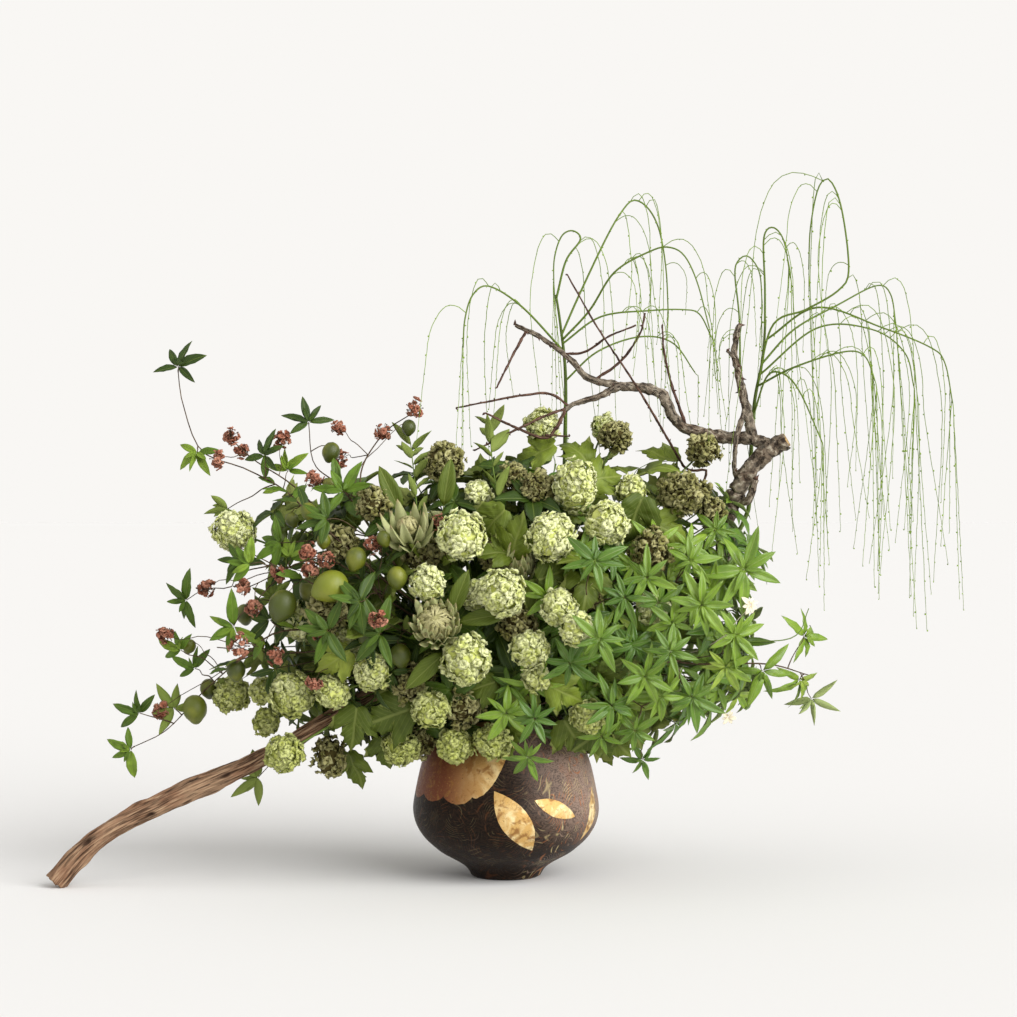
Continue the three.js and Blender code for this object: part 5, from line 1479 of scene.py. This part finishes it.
stems, bracts = Sheet("russet_stems"), Sheet("russet_clusters")
for spine, clusters in RUSSET_SPRIGS:
    line = stem_line([on_bunch(*p) for p in spine], 40)
    stems.sweep(line, (2.6, 1.0), 1)
    for x, z, behind, radius in clusters:
        at = on_bunch(x, z, behind)
        twig_to(stems, line[NEAR_MOUTH:], at, 1.0)
        tall = between(0.8, 1.5)
        for _ in range(RUSSET_FLORETS):
            out = any_way()
            size = between(10, 16)
            where = at + stretched(out, tall) * radius * between(0.4, 1.0)
            pose = faced(out + any_way() * 0.5, between(0, 6), size, where)
            bracts.set_down(random.choice(FLORETS), pose)
        for _ in range(RUSSET_STALKS):
            tip = at + stretched(any_way(), 0.8) * radius * between(0.95, 1.2)
            stems.sweep([at, at.lerp(tip, 0.8), tip], (0.5, 0.5, 1.3))
russet_nodes = names("russet_sprig", 1, 4)
stems.finish(brown_stem, "russet", *russet_nodes)
bracts.finish(petal_finish("russet_petal", ("6b3b2d", "a5634c", "cb947b"), 0.85), "russet", *russet_nodes)

# %% Lobed leaves
stems, leaves = Sheet("lobed_stems"), Sheet("lobed_leaves")
for sprays, place, side in ((LOBED_SPRAYS, on_bunch, -1), (LOBED_BEHIND, behind_bunch, 1)):
    for spine, blades in sprays:
        line = stem_line([place(*p) for p in spine], 40)
        stems.sweep(line, (2.6, 1.2), 1)
        for x, z, behind, size, roll in blades:
            at = place(x, z, behind)
            turn = math.radians(roll)
            tip = Vector((math.cos(turn), 0, math.sin(turn)))
            normal = outwards(at) + Vector((between(-0.4, 0.4), side, between(0, 0.6)))
            root = at - tip * 0.42 * size
            twig_to(stems, line[NEAR_MOUTH:], root, 1.0)
            pose = leaf_pose(root, tip + Vector((0, -0.2 * side, 0)), normal, size * 1.15, size * 1.15)
            leaves.set_down(random.choice(LOBED), pose, curl=between(0.1, 0.8))
lobed_nodes = names("lobed_spray", 1, 5)
stems.finish(green_stem, "lobed_leaf", *lobed_nodes)
leaves.finish(lobed_leaf, "lobed_leaf", *lobed_nodes)

# %% Narrow shoots
LEAFLESS_FROM = 420  # the shoot that reaches out past this, on the right, is bare there
FIRST_LEAF = 28  # points of a shoot's line that are inside the bunch

stems, leaves = Sheet("shoot_stems"), Sheet("shoot_leaves")
for spine in NARROW_SHOOTS:
    line = stem_line([on_bunch(*p) for p in spine], 50)
    stems.sweep(line, (1.8, 0.9), 1)
    for i, (at, after) in enumerate(zip(line[FIRST_LEAF:], line[FIRST_LEAF + 1:])):
        if i % 5 == 4 or at.x > LEAFLESS_FROM:
            continue
        up = (after - at).normalized()
        turn = 2.4 * i + between(-0.5, 0.5)
        way = up * between(0.9, 1.9) + Vector((math.cos(turn), math.sin(turn), 0))
        length = between(34, 66)
        leaves.set_down(random.choice(LANCES), leaf_pose(at, way, up, length, between(0.24, 0.34) * length),
                        curl=between(-0.3, 0.7), sway=between(-0.2, 0.2), twist=between(-0.8, 0.8),
                        tint=between(0, 0.6))
shoot_nodes = names("narrow_shoot", 1, 3)
stems.finish(green_stem, "citrus_leaf", *shoot_nodes)
leaves.finish(citrus_leaf, "citrus_leaf", *shoot_nodes)

# %% Pale flowers
flowers = Sheet("pale_petals")
line = stem_line([on_bunch(330, 400, 90), on_bunch(410, 440, 10)], 40)
flowers.sweep(line, (2, 1))
for x, z, behind, radius in PALE_FLOWERS:
    at = on_bunch(x, z, behind)
    twig_to(flowers, line[NEAR_MOUTH:], at, 0.9)
    whorl(flowers, at, outwards(at) + Vector((0, -1, 0)), 7, radius * 1.2, 0.5, OVALS, 0.4)
flowers.finish(petal_finish("pale_petal", ("cdb995", "e6dabb", "f1ead4")), "pale_petal", "pale_flowers")

# %% [markdown]
# ## Proteas
# A protea is a bud of pointed bracts in rows round a dome. The bracts are cupped leaves, and the inner
# rows stand closer and longer. The dome is a ball under three rows of narrow straps that bend over it
# and cross a little, which gives its woven look.

# %% Proteas
PROTEAS = [
    # place, radius, height, facing, how open, bracts to a row, rows
    ((-176, 622, 4), 22, 66, (-0.12, -0.6, 0.8), 1.05, 9, 2),
    ((-126, 452, 0), 38, 48, (0.0, -0.9, 0.4), 0.85, 13, 3),
    ((24, 556, 62), 26, 46, (0.0, -0.7, 0.7), 0.5, 10, 3),
]
PROTEA_LEAVES = [
    (-190, 655, 46, 88, -0.4, 0.9), (-112, 665, 30, 84, 0.15, 1), (-110, 400, 24, 92, -0.75, -0.65),
    (-98, 470, 30, 82, 0.35, 0.95), (0, 470, 34, 84, -1, -0.12), (-10, 600, 84, 78, -0.5, 0.8),
]
STRAP_ROWS = [(0.0, 1.25, 20), (0.42, 1.0, 16), (0.85, 0.7, 10)]  # angle up the dome, length, straps
STRAP_WIDTH = 5
DOME_REACH = 0.8  # of the protea's radius
DOME_CORE = 0.94  # of the dome's own radius
ROW_STEP = 9


def pointed(t):
    return math.sin(math.pi * min(1, t) ** 0.65) ** 0.8 * (1 - 0.2 * t)


BRACTS = [leaf_stamp(pointed, 0.9, 0.03, thick=0.02) for _ in range(3)]


def bract_rows(bracts, low, axes, radius, tall, openness, count, rows):
    ax, ay, az = axes
    for row in range(rows):
        inner = row / rows
        for i in range(count):
            turn = math.tau * (i + 0.5 * (row % 2)) / count + between(-0.12, 0.12)
            out = ax * math.cos(turn) + ay * math.sin(turn)
            root = low + out * radius * (0.62 - 0.2 * inner) + az * ROW_STEP * row
            way = az + out * openness * (1.1 - inner) * between(0.8, 1.2)
            length = tall * (0.85 + 0.3 * inner) * between(0.85, 1.1)
            pose = leaf_pose(root, way, out - az * 0.2, length, length * 0.36)
            bracts.set_down(random.choice(BRACTS), pose, curl=between(0.1, 0.6), sway=between(-0.1, 0.1))


def woven_dome(domes, at, axes, reach):
    ax, ay, az = axes
    domes.set_down(CORE, basis(*(axis * reach * DOME_CORE for axis in axes), at))
    for up, length, straps in STRAP_ROWS:
        for i in range(straps):
            turn = math.tau * i / straps + between(-0.1, 0.1)
            out = ax * math.cos(turn) + ay * math.sin(turn)
            away = out * math.cos(up) + az * math.sin(up)
            way = az * math.cos(up) - out * math.sin(up) + az.cross(out) * between(-0.5, 0.5)
            pose = leaf_pose(at + away * reach, way, away, length * reach, STRAP_WIDTH)
            domes.set_down(random.choice(STRAPS), pose, curl=length, sway=between(-0.2, 0.2))


def bract_finish():
    """Dusty green bracts with pinkish brown tips and paler rims."""
    f = petal_finish("protea_bract", ("657038", "949c63", "bcbf8c"))
    across, along = f.flat()
    side = abs(f.math("FRACT", across) - 0.5)
    rimmed = f.over(f.base, "b5b084", side, 0.2, 0.4, 0.4)
    f.colour(f.over(rimmed, "8f6650", along, 0.78, 1.0, 0.6))
    return f


bracts, stems, domes = Sheet("protea_bracts"), Sheet("protea_leaves"), Sheet("protea_domes")
for place, radius, tall, normal, openness, count, rows in PROTEAS:
    axes = facing(Vector(normal))
    low = on_bunch(*place) - axes[2] * 0.45 * tall
    bract_rows(bracts, low, axes, radius, tall, openness, count, rows)
    woven_dome(domes, low + axes[2] * 0.55 * tall, axes, radius * DOME_REACH)
    stems.sweep(stem_line([low], 30), (4, 4), 1)
for x, z, behind, length, dx, dz in PROTEA_LEAVES:
    at = on_bunch(x, z, behind)
    way = Vector((dx, -0.25, dz))
    stems.set_down(random.choice(OVALS), leaf_pose(at, way, Vector((0, -1, 0.2)), length, 0.36 * length),
                   curl=0.5, tint=0.3)
    stems.sweep([at - Vector((dx, -0.1, dz)) * 24, at + way * 2], (1.4, 1.0), 0, 0.3)
protea_nodes = names("protea", 1, 3)
bracts.finish(bract_finish(), "bract", *protea_nodes)
domes.finish(petal_finish("protea_dome", ("6a6638", "98945c", "c4be8e")), "bract", *protea_nodes)
stems.finish(lobed_leaf, "bract", *protea_nodes)

# %% [markdown]
# ## What fills the bunch
# Between and behind the blooms the real bunch is dense with leaves and stems. Seeded random whorls and
# lobed leaves fill the egg-shaped space, darker ones on the left and in the middle, and brighter ones on
# the right. They stay above a line that rises from the vase's mouth to both sides.

# %% Filling leaves
FILL_SEED = 7
FILL_COUNT = 420
EVERY_LOBED = 3
LOBED_END = 330  # no lobed leaves further right
LEFT_END = 60  # darker leaves up to here
LOW_EDGE = 180
EDGE_RISE = 0.3
SPARSE_END = -300  # half of the leaves are left out on the far left

random.seed(FILL_SEED)
fill_left, fill_right, fill_lobed = Sheet("filling_left"), Sheet("filling_right"), Sheet("filling_lobed")
fill_stems = Sheet("filling_stems")
for k in range(FILL_COUNT):
    x, z = between(-430, 440), between(185, 740)
    front = near_surface(x, z)
    if front > -60 or z < LOW_EDGE + EDGE_RISE * abs(x) or (x < SPARSE_END and k % 2):
        continue
    hub = seen(x, z, between(front + 40, -REAR_DEPTH * front - 20))
    way = outwards(hub) + UP * 0.3
    if k % EVERY_LOBED == 0 and x < LOBED_END:
        for _ in range(2):
            size = between(54, 84)
            tip = (any_way() + way * 0.3).normalized()
            fill_lobed.set_down(random.choice(LOBED), leaf_pose(hub, tip, way + any_way() * 0.4, size, size),
                                curl=between(0.1, 1.0), tint=between(0, 0.6))
    elif x < LEFT_END:
        whorl(fill_left, hub, way, 5, between(52, 78), 0.42, OVALS, 1.0, between(0, 0.5))
    else:
        whorl(fill_right, hub, way, 6, between(52, 74), 0.34, LANCES, 1.0, between(0, 0.6))
    fill_stems.sweep(stem_line([hub], 24)[12:], (1.8, 1.0))
fill_left.finish(citrus_leaf, "citrus_leaf")
fill_right.finish(whorl_leaf, "whorl_leaf")
fill_lobed.finish(lobed_leaf, "lobed_leaf")
fill_stems.finish(green_stem, "lobed_leaf")

# %% Stems of the blooms
bloom_stems = Sheet("bloom_stems")
for _, _, groups, place, _, _ in BLOOMS:
    for group in groups:
        for x, z, behind, _, _ in group:
            bloom_stems.sweep(stem_line([place(x, z, behind)], 22), (2.8, 2.0))
bloom_stems.finish(green_stem, "lobed_leaf")
